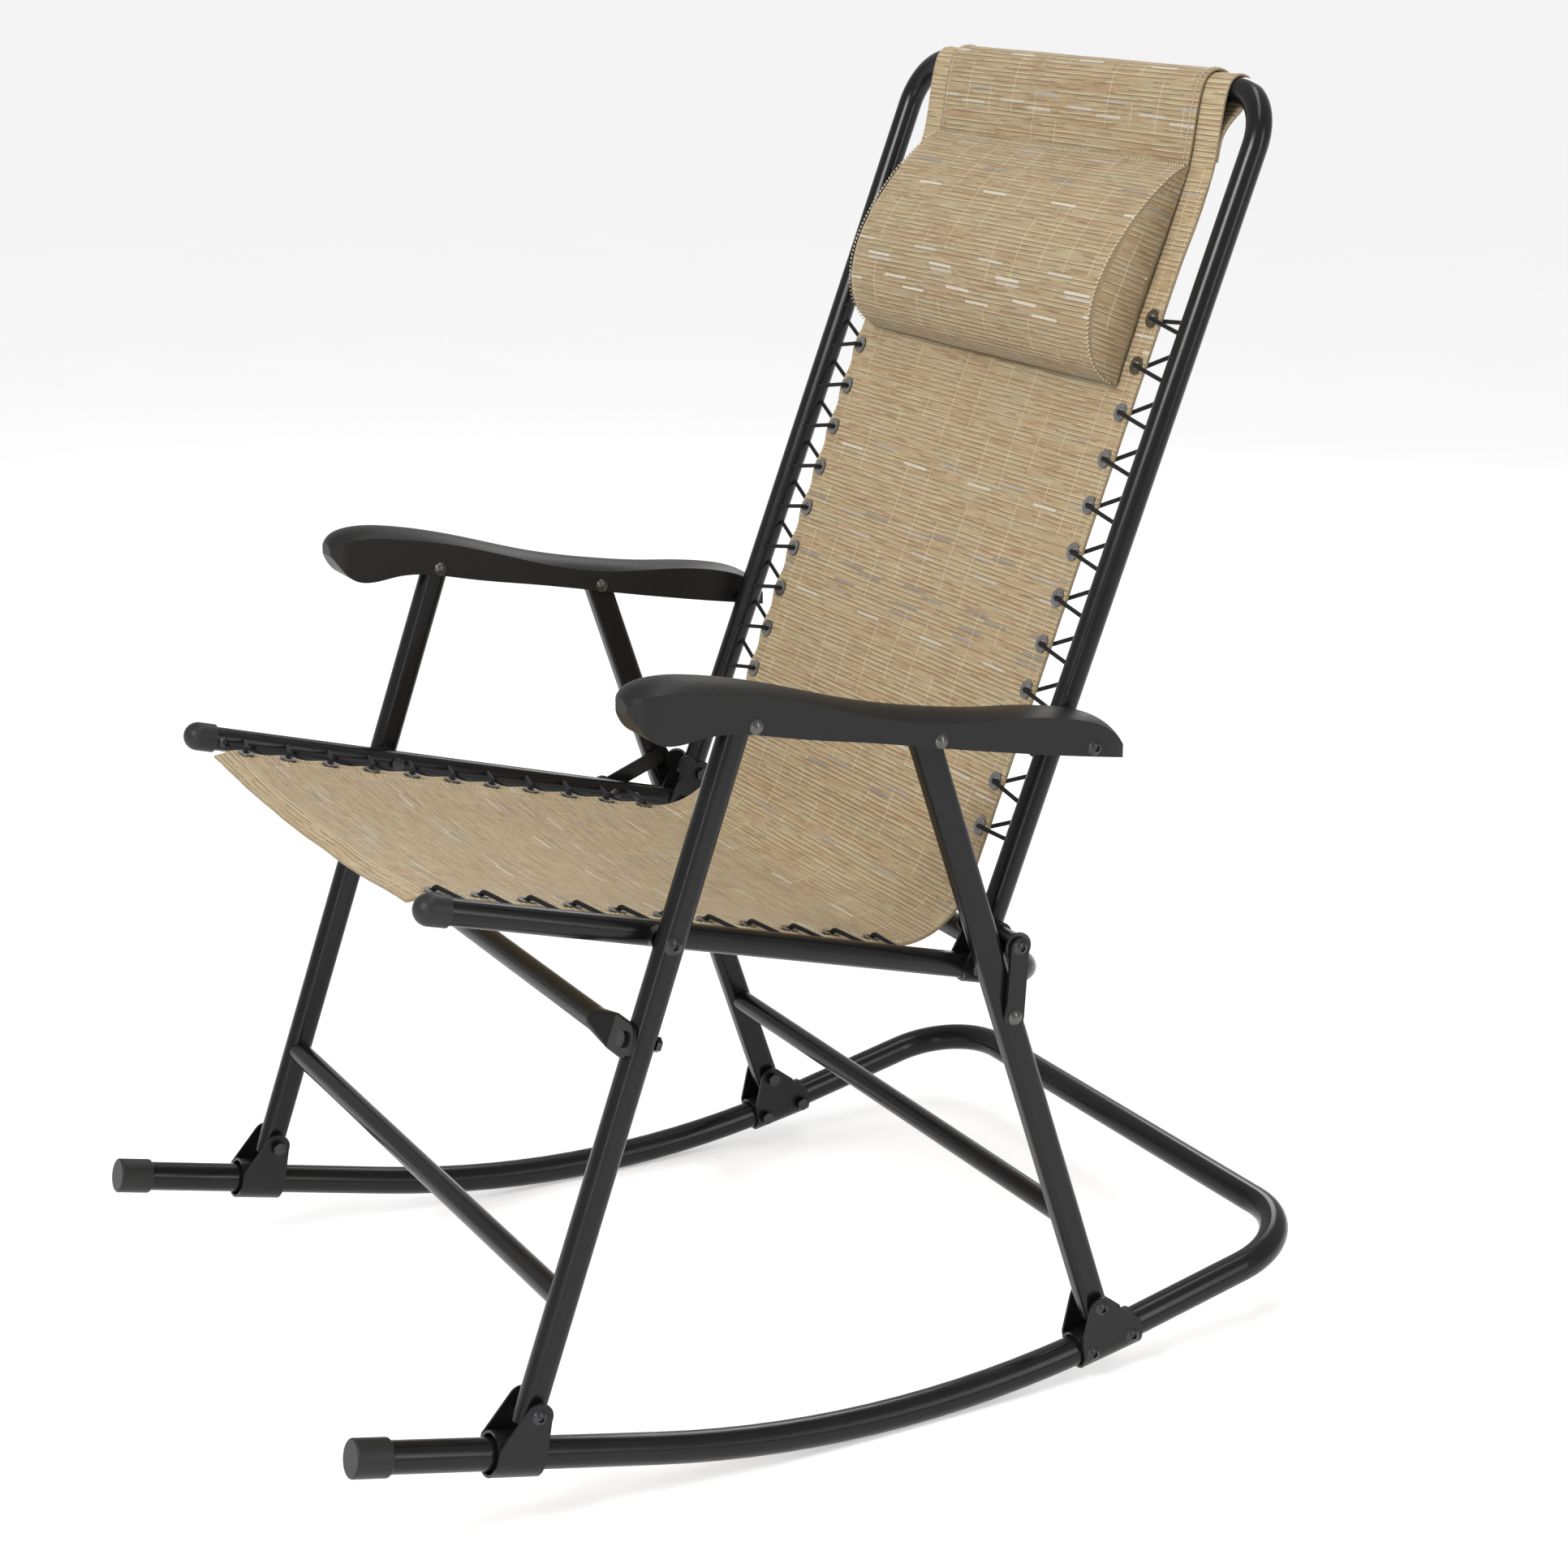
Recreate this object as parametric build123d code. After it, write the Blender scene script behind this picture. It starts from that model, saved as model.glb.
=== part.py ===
"""Folding sling rocking chair: steel tube frame, moulded armrests, laced fabric sling.

Millimetres. The chair faces -Y, +X is the sitter's left, +Z is up. The origin is on the floor,
under the middle of the chair's bounding box.
"""
import os
from math import asin, atan2, cos, degrees, hypot, pi, radians, sin, sqrt, tan
from build123d import *

# ---------------------------------------------------------------- driving dimensions
LEG_X = 290.0            # half spacing of the runners and of the leg planes
RAIL_X = 261.0           # half spacing of the seat rails and back uprights
ARM_X = 298.6            # half spacing of the armrest centre lines
EYELET_X = 208.0         # half spacing of the two rows of eyelets
HEM_X = 218.0            # half width of the sling
SLEEVE_X = 214.0         # half width of the sleeve over the top bar

RUNNER_R = 13.0          # outer radius of the runner tube
RUNNER_WALL = 1.5
FRAME_R = 10.5           # outer radius of the seat and back tube
BAR_R = 10.0             # outer radius of the crossbars
WALL = 1.2               # wall of every tube
LEG_WIDE = 24.0          # oval leg tube, fore and aft
LEG_THICK = 19.0         # oval leg tube, side to side
FRONT_LEG_CORNER = 9.0
REAR_LEG_CORNER = 6.5

CONTACT_Y = 36.0         # where the runners touch the floor at rest
ROCK_R = 1017.0          # radius of the runner's rolling arc, on the tube's axis
FRONT_RISE = radians(13.5)
REAR_RISE = radians(12.3)
RUNNER_FRONT_Y = -452.0
RUNNER_REAR_Y = 446.1
RUNNER_CORNER = 75.0

# pivots in the side view, as (y, z)
FOOT_PIVOT = (-309.0, 105.0)        # front leg in the sliding bracket
HEEL_PIVOT = (213.5, 67.5)          # rear leg in the fixed bracket
ARM_FRONT = (-125.5, 631.0)         # front leg and armrest
ARM_MID = (35.5, 597.5)             # rear leg and armrest
ARM_REAR = (178.0, 572.0)           # back upright and armrest
SEAT_FRONT = (-186.0, 463.0)        # front leg and seat rail
LINK_LOW = (119.0, 350.0)           # rear leg and link
BACK_HINGE = (122.5, 409.0)         # seat bracket, back upright and link
LATCH_PIVOT = (95.0, 425.0)         # rear leg and latch, sitter's right only
LATCH_STUD = (33.0, 401.0)

RAIL_SLOPE = radians(-15.3)         # seat rails, falling towards the rear
RAIL_FRONT = (-364.0, 511.0)
RAIL_CROSS_Y = 174.0
RAIL_CORNER = 40.0
BACK_LEAN = radians(21.0)           # back uprights, from the vertical
BACK_FOOT = (114.6, 399.5)          # lower end of the upright's axis
BACK_TOP_Z = 1067.0
BACK_CORNER = 44.0

LOWER_BAR_Z = 190.0
UPPER_BAR_Z = 388.0
REAR_BAR_Z = 155.0

SHEET = 2.2                         # sheet steel of the brackets
SHOE_GAP = 2.9                      # play of the sliding bracket round the runner
CLAMP_GAP = 1.1                     # room for the runner's curve inside the fixed bracket
BOLT_R = 4.0
PIN_PLAY = 0.06
TINY = 0.3                          # gap between faces of two bodies
LATCH_X = 276.4                     # inner face of the latch plate
LATCH_T = 2.4
LATCH_WIDE = 15.0
KNOB_R = 10.5

LACE_R = 1.8
SEAT_PHASE = (0.44, 0.50)             # where a cord's turn meets the rail, in pitches
BACK_PHASE = (0.56, 0.77)             # and where it meets the upright
EYELET_PITCH = 39.6
LACE_SCREW_FRONT = 19.0               # screws that hold the cord's ends, along the rail
LACE_SCREW_REAR = 435.0
SEAT_EYELETS = 11
BACK_EYELETS = 12
SEAT_EYELET_START = 24.0            # first eyelet, along the rail from its front end
BACK_EYELET_START = 87.0            # first eyelet, along the upright from its foot
SLING_T = 3.0
SLING_BEND = 66.0        # radius of the sling between seat and back
SLING_SPLIT = 56.0       # up the upright's axis, where the seat's piece of sling ends

PIVOT_RISE = 37.2        # leg pivots over the runner's axis, square to the runner
PILLOW_UP = 553.0        # middle of the headrest, up the upright's axis
PILLOW_W = 384.0
PILLOW_H = 184.0
PILLOW_T = 46.0

LEG_IN = LEG_X - LEG_THICK / 2
LEG_OUT = LEG_X + LEG_THICK / 2
RAIL_OUT = RAIL_X + FRAME_R

parts = {}


# ---------------------------------------------------------------- helpers
def at(yz, x):
    """Point in space for a side view point."""
    return Vector(x, yz[0], yz[1])


def toward(start, end):
    """Unit vector of the side view from start to end."""
    length = hypot(end[0] - start[0], end[1] - start[1])
    return ((end[0] - start[0]) / length, (end[1] - start[1]) / length)


def along(start, direction, distance):
    return (start[0] + direction[0] * distance, start[1] + direction[1] * distance)


def side_plane(x):
    """Plane of a side view: its x is Y and its y is Z."""
    return Plane(origin=(x, 0, 0), x_dir=(0, 1, 0), z_dir=(1, 0, 0))


def rod(yz, x0, x1, radius):
    """Cylinder along X between x0 and x1."""
    length = abs(x1 - x0)
    start = Plane(origin=at(yz, min(x0, x1)), z_dir=(1, 0, 0))
    return extrude(start * Circle(radius), amount=length)


def ring(yz, x0, x1, outer, inner):
    return rod(yz, x0, x1, outer) - rod(yz, x0 - 1, x1 + 1, inner)


def round_tube(path, radius, wall=WALL):
    section = Circle(radius) - Circle(radius - wall)
    return sweep(Plane(origin=path @ 0, z_dir=path % 0) * section, path=path)


def dome_head(yz, x, side, radius, height):
    """Low domed rivet head whose flat face is at x and which rises towards side."""
    sphere_r = (radius**2 + height**2) / (2 * height)
    rim = degrees(asin((sphere_r - height) / sphere_r))
    cap = Sphere(sphere_r, arc_size1=rim, arc_size2=90, align=(Align.CENTER, Align.CENTER, Align.MIN))
    return Pos(x, yz[0], yz[1]) * Rot(0, 90 * side, 0) * cap


def socket_bolt(yz, x_head, x_end, shank=BOLT_R, head=7.0, nut=True):
    """Bolt along X with a recessed button head at x_head and a nut short of x_end."""
    side = 1 if x_head > x_end else -1
    bolt = rod(yz, x_head, x_end, shank)
    cap = dome_head(yz, x_head, side, head, 3.4)
    cap -= extrude(Plane(origin=at(yz, x_head + side * 1.4), z_dir=(side, 0, 0)) * RegularPolygon(2.6, 6), 6)
    bolt += cap
    if nut:
        hexagon = Plane(origin=at(yz, x_end), z_dir=(side, 0, 0)) * RegularPolygon(6.4, 6)
        bolt += extrude(hexagon, amount=4.5)
    return bolt


def both_sides(name, solid):
    """Keep a solid made at +X and its mirror image."""
    parts[name + "_left"] = solid
    parts[name + "_right"] = mirror(solid, Plane.YZ)


def pair(solid):
    """A solid made at +X together with its mirror image."""
    return [solid, mirror(solid, Plane.YZ)]


def drilled(tube, drills):
    """The tube with each drill's hole in both of its sides."""
    return tube - [hole for drill in drills for hole in pair(drill)]


def group(name, solids):
    parts[name] = Compound(children=list(solids))


# ---------------------------------------------------------------- rocker base
ARC_FRONT_Y = CONTACT_Y - ROCK_R * sin(FRONT_RISE)
ARC_REAR_Y = CONTACT_Y + ROCK_R * sin(REAR_RISE)
ARC_FRONT_Z = RUNNER_R + ROCK_R * (1 - cos(FRONT_RISE))
ARC_REAR_Z = RUNNER_R + ROCK_R * (1 - cos(REAR_RISE))


def runner_height(y):
    """Height of the runner's axis at y."""
    if y < ARC_FRONT_Y:
        return ARC_FRONT_Z + (ARC_FRONT_Y - y) * tan(FRONT_RISE)
    if y > ARC_REAR_Y:
        return ARC_REAR_Z + (y - ARC_REAR_Y) * tan(REAR_RISE)
    return RUNNER_R + ROCK_R - sqrt(ROCK_R**2 - (y - CONTACT_Y) ** 2)


def runner_path():
    """Runner, crossbar behind the sitter and the other runner, as one bent tube."""
    edges = []
    cross_x = LEG_X - RUNNER_CORNER
    bend_y = RUNNER_REAR_Y - RUNNER_CORNER * cos(REAR_RISE)
    front = (RUNNER_FRONT_Y, runner_height(RUNNER_FRONT_Y))
    arc_a = (ARC_FRONT_Y, ARC_FRONT_Z)
    arc_m = (CONTACT_Y, RUNNER_R)
    arc_b = (ARC_REAR_Y, ARC_REAR_Z)
    bend = (bend_y, runner_height(bend_y))
    cross = (RUNNER_REAR_Y, runner_height(RUNNER_REAR_Y))
    out = Vector(0, cos(REAR_RISE), sin(REAR_RISE))
    for side in (1, -1):
        x = side * LEG_X
        corner = at(bend, x) - Vector(side * RUNNER_CORNER, 0, 0)
        diagonal = RUNNER_CORNER * sin(pi / 4)
        middle = corner + Vector(side * diagonal, 0, 0) + out * diagonal
        edges.append(Line(at(front, x), at(arc_a, x)))
        edges.append(ThreePointArc(at(arc_a, x), at(arc_m, x), at(arc_b, x)))
        edges.append(Line(at(arc_b, x), at(bend, x)))
        edges.append(ThreePointArc(at(bend, x), middle, at(cross, side * cross_x)))
    edges.append(Line(at(cross, cross_x), at(cross, -cross_x)))
    return Wire(edges)


def rocker_frame():
    front = (RUNNER_FRONT_Y, runner_height(RUNNER_FRONT_Y))
    path = runner_path()
    section = Circle(RUNNER_R) - Circle(RUNNER_R - RUNNER_WALL)
    start = Plane(origin=at(front, LEG_X), z_dir=(0, cos(FRONT_RISE), -sin(FRONT_RISE)))
    return sweep(start * section, path=path)


def runner_cap():
    front = (RUNNER_FRONT_Y, runner_height(RUNNER_FRONT_Y))
    inward = Vector(0, cos(FRONT_RISE), -sin(FRONT_RISE))
    nose = Plane(origin=at(front, LEG_X) - inward * 4, z_dir=inward)
    shell = extrude(nose * Circle(RUNNER_R + 2.4), amount=30)
    shell = fillet(shell.edges().filter_by(GeomType.CIRCLE), 1.8)
    sleeve = Plane(origin=at(front, LEG_X), z_dir=inward)
    return shell - extrude(sleeve * Circle(RUNNER_R), amount=40)


# ---------------------------------------------------------------- leg brackets
def tangent_angle(y):
    """Slope angle of the runner at y."""
    return atan2(runner_height(y + 0.5) - runner_height(y - 0.5), 1.0)


def bracket(pivot, front, rear, shoulder, gap):
    """U bracket under the runner with two upright ears that hold a leg's pivot.

    front and rear are the distances along the runner from the pivot to the bracket's ends,
    shoulder is the height of its straight sides over the runner's axis.
    """
    slope = tangent_angle(pivot[0])
    run = Vector(0, cos(slope), sin(slope))
    foot_y = pivot[0] + sin(slope) * PIVOT_RISE
    base = Vector(LEG_X, foot_y, runner_height(foot_y))
    inner = RUNNER_R + gap
    outer = inner + SHEET
    tall = PIVOT_RISE + 40
    across = Plane(origin=base - run * front, x_dir=(-1, 0, 0), z_dir=run)
    channel = across * (Pos(0, tall / 2) * Rectangle(2 * outer, tall) + Circle(outer))
    hollow = across * (Pos(0, tall) * Rectangle(2 * inner, 2 * tall) + Circle(inner))
    shell = extrude(channel, amount=front + rear) - extrude(hollow, amount=front + rear)
    side = Plane(origin=base - Vector(outer + 1, 0, 0), x_dir=run, z_dir=(1, 0, 0))
    ear_r = 11.5
    top = Pos(0, PIVOT_RISE) * Circle(ear_r)
    lean = Polyline((-front, shoulder), (-ear_r * 0.94, PIVOT_RISE + 4), (ear_r * 0.94, PIVOT_RISE + 4),
                    (rear, shoulder), (rear, -outer - 1), (-front, -outer - 1), close=True)
    outline = side * (make_face(lean) + top)
    shell &= extrude(outline, amount=2 * outer + 2)
    web = across * (Circle(outer) - Circle(inner))
    web &= across * (Pos(0, outer) * Rectangle(2 * inner, 2 * outer))
    shell += extrude(web, amount=front + rear)
    return shell, base, run


# ---------------------------------------------------------------- leg and crossbar directions
FRONT_DIR = toward(FOOT_PIVOT, ARM_FRONT)
REAR_DIR = toward(HEEL_PIVOT, ARM_MID)


def on_front_leg(z):
    share = (z - FOOT_PIVOT[1]) / (ARM_FRONT[1] - FOOT_PIVOT[1])
    return (FOOT_PIVOT[0] + share * (ARM_FRONT[0] - FOOT_PIVOT[0]), z)


def on_rear_leg(z):
    share = (z - HEEL_PIVOT[1]) / (ARM_MID[1] - HEEL_PIVOT[1])
    return (HEEL_PIVOT[0] + share * (ARM_MID[0] - HEEL_PIVOT[0]), z)


def leg(start, end, below, above, corner, hollow=True):
    direction = toward(start, end)
    foot = along(start, direction, -below)
    length = hypot(end[0] - start[0], end[1] - start[1]) + below + above
    plane = Plane(origin=at(foot, LEG_X), x_dir=(1, 0, 0), z_dir=(0, direction[0], direction[1]))
    section = RectangleRounded(LEG_THICK, LEG_WIDE, corner)
    if hollow:
        section -= RectangleRounded(LEG_THICK - 2 * WALL, LEG_WIDE - 2 * WALL, corner - WALL)
    return extrude(plane * section, amount=length)


def crossbar(yz, solid_leg):
    """Round bar welded between the two legs, coped to them."""
    bar = rod(yz, -LEG_X, LEG_X, BAR_R) - rod(yz, -LEG_X, LEG_X, BAR_R - WALL)
    for leg_solid in pair(solid_leg):
        bar -= leg_solid
    return max(bar.solids(), key=lambda s: s.volume)


def upper_crossbar():
    """Front bar with flattened ends, bolted on the front of both legs."""
    flat = 3.4
    forward = Vector(0, -FRONT_DIR[1], FRONT_DIR[0])
    middle = Vector(0, *on_front_leg(UPPER_BAR_Z)) + forward * (LEG_WIDE / 2 + flat / 2 + 0.1)
    half = LEG_X - 46
    taper = 26

    def section(x, wide, deep, corner):
        plane = Plane(origin=middle + Vector(x, 0, 0), x_dir=forward, z_dir=(1, 0, 0))
        return plane * RectangleRounded(deep, wide, corner)

    bar = extrude(section(-half, 2 * BAR_R, 2 * BAR_R, BAR_R - 0.1), amount=2 * half)
    bore = 2 * (BAR_R - WALL)
    bar -= extrude(section(-half + 4, bore, bore, BAR_R - WALL - 0.1), amount=2 * half - 8)
    for side in (1, -1):
        end = loft([section(side * half, 2 * BAR_R, 2 * BAR_R, BAR_R - 0.1),
                    section(side * (half + taper), 29, flat, flat / 2 - 0.1)])
        bar += end
        plate = extrude(section(side * (half + taper), 29, flat, flat / 2 - 0.1), amount=side * 35)
        rounding = Plane(origin=middle + Vector(side * (half + taper), 0, 0) - forward * flat,
                         x_dir=(side, 0, 0), z_dir=forward)
        shape = rounding * (Pos(10, 0) * Rectangle(20, 40) + Pos(20, 0) * Circle(14.5))
        plate &= extrude(shape, amount=2 * flat)
        bar += plate
        hole = Plane(origin=middle + Vector(side * LEG_X, 0, 0) - forward * 20, z_dir=forward)
        bar -= extrude(hole * Circle(3.0), amount=40)
    return bar, middle, forward


# ---------------------------------------------------------------- armrests
# stations along the arm: y, underside, edge of the flat side, crown, half width
ARM_STATIONS = (
    (-226.0, 651.0, 657.0, 661.0, 9.0),
    (-222.0, 645.0, 660.0, 666.5, 16.0),
    (-212.0, 632.0, 664.5, 671.5, 20.8),
    (-196.0, 626.0, 666.0, 673.5, 22.0),
    (-168.0, 628.5, 663.0, 671.0, 22.0),
    (-100.0, 619.0, 648.5, 655.0, 22.0),
    (-30.0, 605.5, 626.5, 634.0, 22.0),
    (40.0, 591.0, 610.5, 619.0, 22.0),
    (110.0, 577.0, 605.5, 608.5, 22.0),
    (165.0, 567.0, 596.5, 601.0, 22.0),
    (194.0, 562.0, 584.0, 590.0, 21.0),
    (208.0, 559.0, 570.0, 577.0, 18.0),
)
ARM_WALL = 2.8


def arm_section(station, inset, drop):
    """Cross-section of the arm: flat sides and a crowned top."""
    y, under, edge, crown, half = station
    half -= inset
    plane = Plane(origin=(ARM_X, y, 0), x_dir=(1, 0, 0), z_dir=(0, -1, 0))
    low = under - drop
    outline = Polyline((-half, edge - inset), (-half, low), (half, low), (half, edge - inset))
    top = ThreePointArc((half, edge - inset), (0, crown - inset), (-half, edge - inset))
    return plane * make_face(Wire([*outline.edges(), top]))


def armrest():
    shell = loft([arm_section(s, 0, 0) for s in ARM_STATIONS])
    inner = [arm_section(s, ARM_WALL, 12) for s in ARM_STATIONS[3:11]]
    shell -= loft(inner)
    for y in (-150.0, 90.0):
        rib = Pos(ARM_X, y, 620) * Box(2 * (22 - ARM_WALL) + 0.2, 2.4, 140)
        skin = loft([arm_section(s, 1.5, -6) for s in ARM_STATIONS[3:11]])
        shell += rib & skin
    return shell


# ---------------------------------------------------------------- seat and back frames
RAIL_DIR = (cos(RAIL_SLOPE), sin(RAIL_SLOPE))
BACK_DIR = (sin(BACK_LEAN), cos(BACK_LEAN))


def on_rail(y):
    return (y, RAIL_FRONT[1] + (y - RAIL_FRONT[0]) * tan(RAIL_SLOPE))


def seat_path():
    front = at(RAIL_FRONT, RAIL_X)
    rear = at(on_rail(RAIL_CROSS_Y), RAIL_X)
    flip = Vector(2 * RAIL_X, 0, 0)
    return FilletPolyline(front, rear, rear - flip, front - flip, radius=RAIL_CORNER)


def back_path():
    foot = at(BACK_FOOT, RAIL_X)
    reach = (BACK_TOP_Z - BACK_FOOT[1]) / BACK_DIR[1]
    top = at(along(BACK_FOOT, BACK_DIR, reach), RAIL_X)
    flip = Vector(2 * RAIL_X, 0, 0)
    return FilletPolyline(foot, top, top - flip, foot - flip, radius=BACK_CORNER)


def seat_cap():
    outward = Vector(0, -RAIL_DIR[0], -RAIL_DIR[1])
    nose = at(RAIL_FRONT, RAIL_X) + outward * 1.5
    ball = Pos(*nose) * Sphere(FRAME_R + 2)
    skirt = extrude(Plane(origin=nose, z_dir=outward * -1) * Circle(FRAME_R + 2), amount=14)
    hollow = extrude(Plane(origin=nose - outward * 1.5, z_dir=outward * -1) * Circle(FRAME_R), amount=30)
    return ball + skirt - hollow


def seat_bracket():
    """Saddle clamped under the seat rail, with two ears up to the back's hinge."""
    hub = on_rail(BACK_HINGE[0] - sin(-RAIL_SLOPE) * 30)
    run = Vector(0, *RAIL_DIR)
    inner = FRAME_R + 0.4
    outer = inner + SHEET
    front = 26.0
    rear = 17.0
    tall = 52.0
    base = at(hub, RAIL_X)
    across = Plane(origin=base - run * front, x_dir=(-1, 0, 0), z_dir=run)
    channel = across * (Pos(0, tall / 2) * Rectangle(2 * outer, tall) + Circle(outer))
    hollow = across * (Pos(0, tall) * Rectangle(2 * inner, 2 * tall) + Circle(inner))
    shell = extrude(channel, amount=front + rear) - extrude(hollow, amount=front + rear)
    outline = Polyline((hub[0] - 26, hub[1] + 6), (hub[0] - 18, hub[1] - 16), (hub[0] + 20, hub[1] - 24),
                       (BACK_HINGE[0] + 12, BACK_HINGE[1] - 2), (BACK_HINGE[0] - 14, BACK_HINGE[1] + 12),
                       close=True)
    ears = make_face(outline) + Pos(*BACK_HINGE) * Circle(12)
    ears += Pos(BACK_HINGE[0] - 15, BACK_HINGE[1] + 10) * Circle(10)
    cutter = extrude(side_plane(RAIL_X - outer - 1) * ears, amount=2 * outer + 2)
    return shell & cutter


# ---------------------------------------------------------------- sling, eyelets and lacing
def rail_frame(distance):
    """Point on the rail's axis at a distance from its front end, and its lifting normal."""
    point = along(RAIL_FRONT, RAIL_DIR, distance)
    return point, (-RAIL_DIR[1], RAIL_DIR[0])


def back_frame_point(distance):
    """Point on the upright's axis at a distance from its foot, and its forward normal."""
    point = along(BACK_FOOT, BACK_DIR, distance)
    return point, (-BACK_DIR[1], BACK_DIR[0])


def lace(frame_at, first, count, phase, face):
    """Elastic cord at +X through each eyelet and through pairs of holes in the tube's inner side.

    phase is where the cord goes into and out of the tube, as two shares of the pitch past an
    eyelet. face is 1 where it leaves each eyelet over the sling's face, and -1 under it.
    Returns the cord and the drills that open the tube's wall for it.
    """
    dive = 5.4
    turn = 3.6
    span = RAIL_X - EYELET_X

    def place(distance, inward, lift):
        point, normal = frame_at(distance)
        rise = face * lift
        return Vector(RAIL_X - inward, point[0] + normal[0] * rise, point[1] + normal[1] * rise)

    def drill(start, target):
        plane = Plane(origin=start, z_dir=target - start)
        return extrude(plane * Circle(LACE_R + 0.4), amount=16)

    points = [place(first, 1, -turn)]
    radii = []
    drills = []
    for index in range(count):
        here = first + index * EYELET_PITCH
        points += [place(here, span, -dive), place(here, span, dive)]
        drills.append(drill(points[-3], points[-2]))
        radii += [4.0, 4.0]
        share = phase[0] if index < count - 1 else 0.1
        points.append(place(here + EYELET_PITCH * share, 1, turn))
        drills.append(drill(points[-1], points[-2]))
        if index < count - 1:
            points.append(place(here + EYELET_PITCH * phase[1], 1, -turn))
            radii += [turn - 0.3, turn - 0.3]
    path = FilletPolyline(*points, radius=radii)
    cord = sweep(Plane(origin=path @ 0, z_dir=path % 0) * Circle(LACE_R), path=path)
    return cord, drills


def eyelet_axes(frame_at, first, count):
    for index in range(count):
        point, normal = frame_at(first + index * EYELET_PITCH)
        for side in (1, -1):
            yield Plane(origin=(side * EYELET_X, point[0], point[1]), z_dir=(0, normal[0], normal[1]))


def eyelet(plane):
    """Barrel with a rolled flange on each face of the sling."""
    barrel = Circle(5.0) - Circle(3.6)
    flange = Circle(7.6) - Circle(3.6)
    half = SLING_T / 2
    body = extrude(plane.offset(-half - 0.8) * barrel, amount=SLING_T + 1.6)
    body += extrude(plane.offset(half) * flange, amount=0.8)
    body += extrude(plane.offset(-half - 0.8) * flange, amount=0.8)
    return body


def sling_panel(path, axes):
    """Panel between the tubes that follows a side view path, with a hole at each eyelet."""
    section = Plane(origin=path @ 0, x_dir=(1, 0, 0), z_dir=path % 0) * Rectangle(2 * HEM_X, SLING_T)
    panel = sweep(section, path=path)
    for axis in axes:
        panel -= extrude(axis.offset(-10) * Circle(5.0), amount=20)
    return panel


def seat_sling_path():
    """Along the rails and round the bend up to the foot of the back."""
    start = rail_frame(2.0)[0]
    end = back_frame_point(SLING_SPLIT)[0]
    slope = -tan(RAIL_SLOPE)
    lean = tan(BACK_LEAN)
    drop = RAIL_FRONT[1] - BACK_FOOT[1] - (BACK_FOOT[0] - RAIL_FRONT[0]) * slope
    rise = drop / (1 + lean * slope)
    corner = (BACK_FOOT[0] + rise * lean, BACK_FOOT[1] + rise)
    return FilletPolyline(at(start, 0), at(corner, 0), at(end, 0), radius=SLING_BEND)


def top_sleeve():
    """Fabric wrapped over the back's top bar, from the front panel round to behind it."""
    reach = (BACK_TOP_Z - BACK_FOOT[1]) / BACK_DIR[1]
    point, normal = back_frame_point(reach)
    plane = Plane(origin=(-SLEEVE_X, point[0], point[1]), x_dir=(0, normal[0], normal[1]), z_dir=(1, 0, 0))
    inner = FRAME_R + 0.4
    outer = inner + SLING_T
    tail = 62.0
    ring_face = Circle(outer) - Circle(inner)
    walls = Rectangle(2 * outer, tail, align=(Align.CENTER, Align.MIN))
    walls -= Rectangle(2 * inner, tail, align=(Align.CENTER, Align.MIN))
    arch = ring_face - Rectangle(4 * outer, 2 * outer, align=(Align.CENTER, Align.MIN))
    return plane, arch + walls


def headrest():
    """Padded headrest block that hangs in front of the sling."""
    centre, normal = back_frame_point(PILLOW_UP)
    plane = Plane(origin=(0, centre[0], centre[1]), x_dir=(1, 0, 0),
                  z_dir=(0, normal[0], normal[1])).offset(SLING_T / 2 + 4)
    block = extrude(plane * RectangleRounded(PILLOW_W, PILLOW_H, 18), amount=PILLOW_T)
    front_face = block.faces().sort_by(Axis((0, 0, 0), plane.z_dir))[-1]
    return fillet(front_face.edges(), 15)


# ---------------------------------------------------------------- build
def build_base():
    frame = rocker_frame()
    bolts = []
    shell, base, run = bracket(HEEL_PIVOT, 23.0, 37.0, 12.0, CLAMP_GAP)
    out = LEG_X + RUNNER_R + CLAMP_GAP + SHEET
    inside = LEG_X - RUNNER_R - CLAMP_GAP - SHEET
    for distance in (-14.0, 27.0):
        spot = base + run * distance
        bolts.append(socket_bolt((spot.Y, spot.Z), out, inside - 6, 3.0, 6.5))
    bolts.append(socket_bolt(HEEL_PIVOT, out, inside - 6, BOLT_R, 6.5))
    for bolt in bolts:
        shell -= bolt
        frame -= bolt
        frame -= mirror(bolt, Plane.YZ)
    parts["rocker_frame"] = frame
    both_sides("runner_cap", runner_cap())
    both_sides("rear_bracket", shell)
    group("rear_bracket_bolts", [s for bolt in bolts for s in pair(bolt)])
    return bolts[-1]


def build_shoes():
    shell = bracket(FOOT_PIVOT, 28.0, 13.0, 9.0, SHOE_GAP)[0]
    out = LEG_X + RUNNER_R + SHOE_GAP + SHEET
    inside = LEG_X - RUNNER_R - SHOE_GAP - SHEET
    bolt = socket_bolt(FOOT_PIVOT, out, inside - 6, BOLT_R, 6.5)
    both_sides("front_bracket", shell - bolt)
    group("front_bracket_bolts", pair(bolt))


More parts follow.
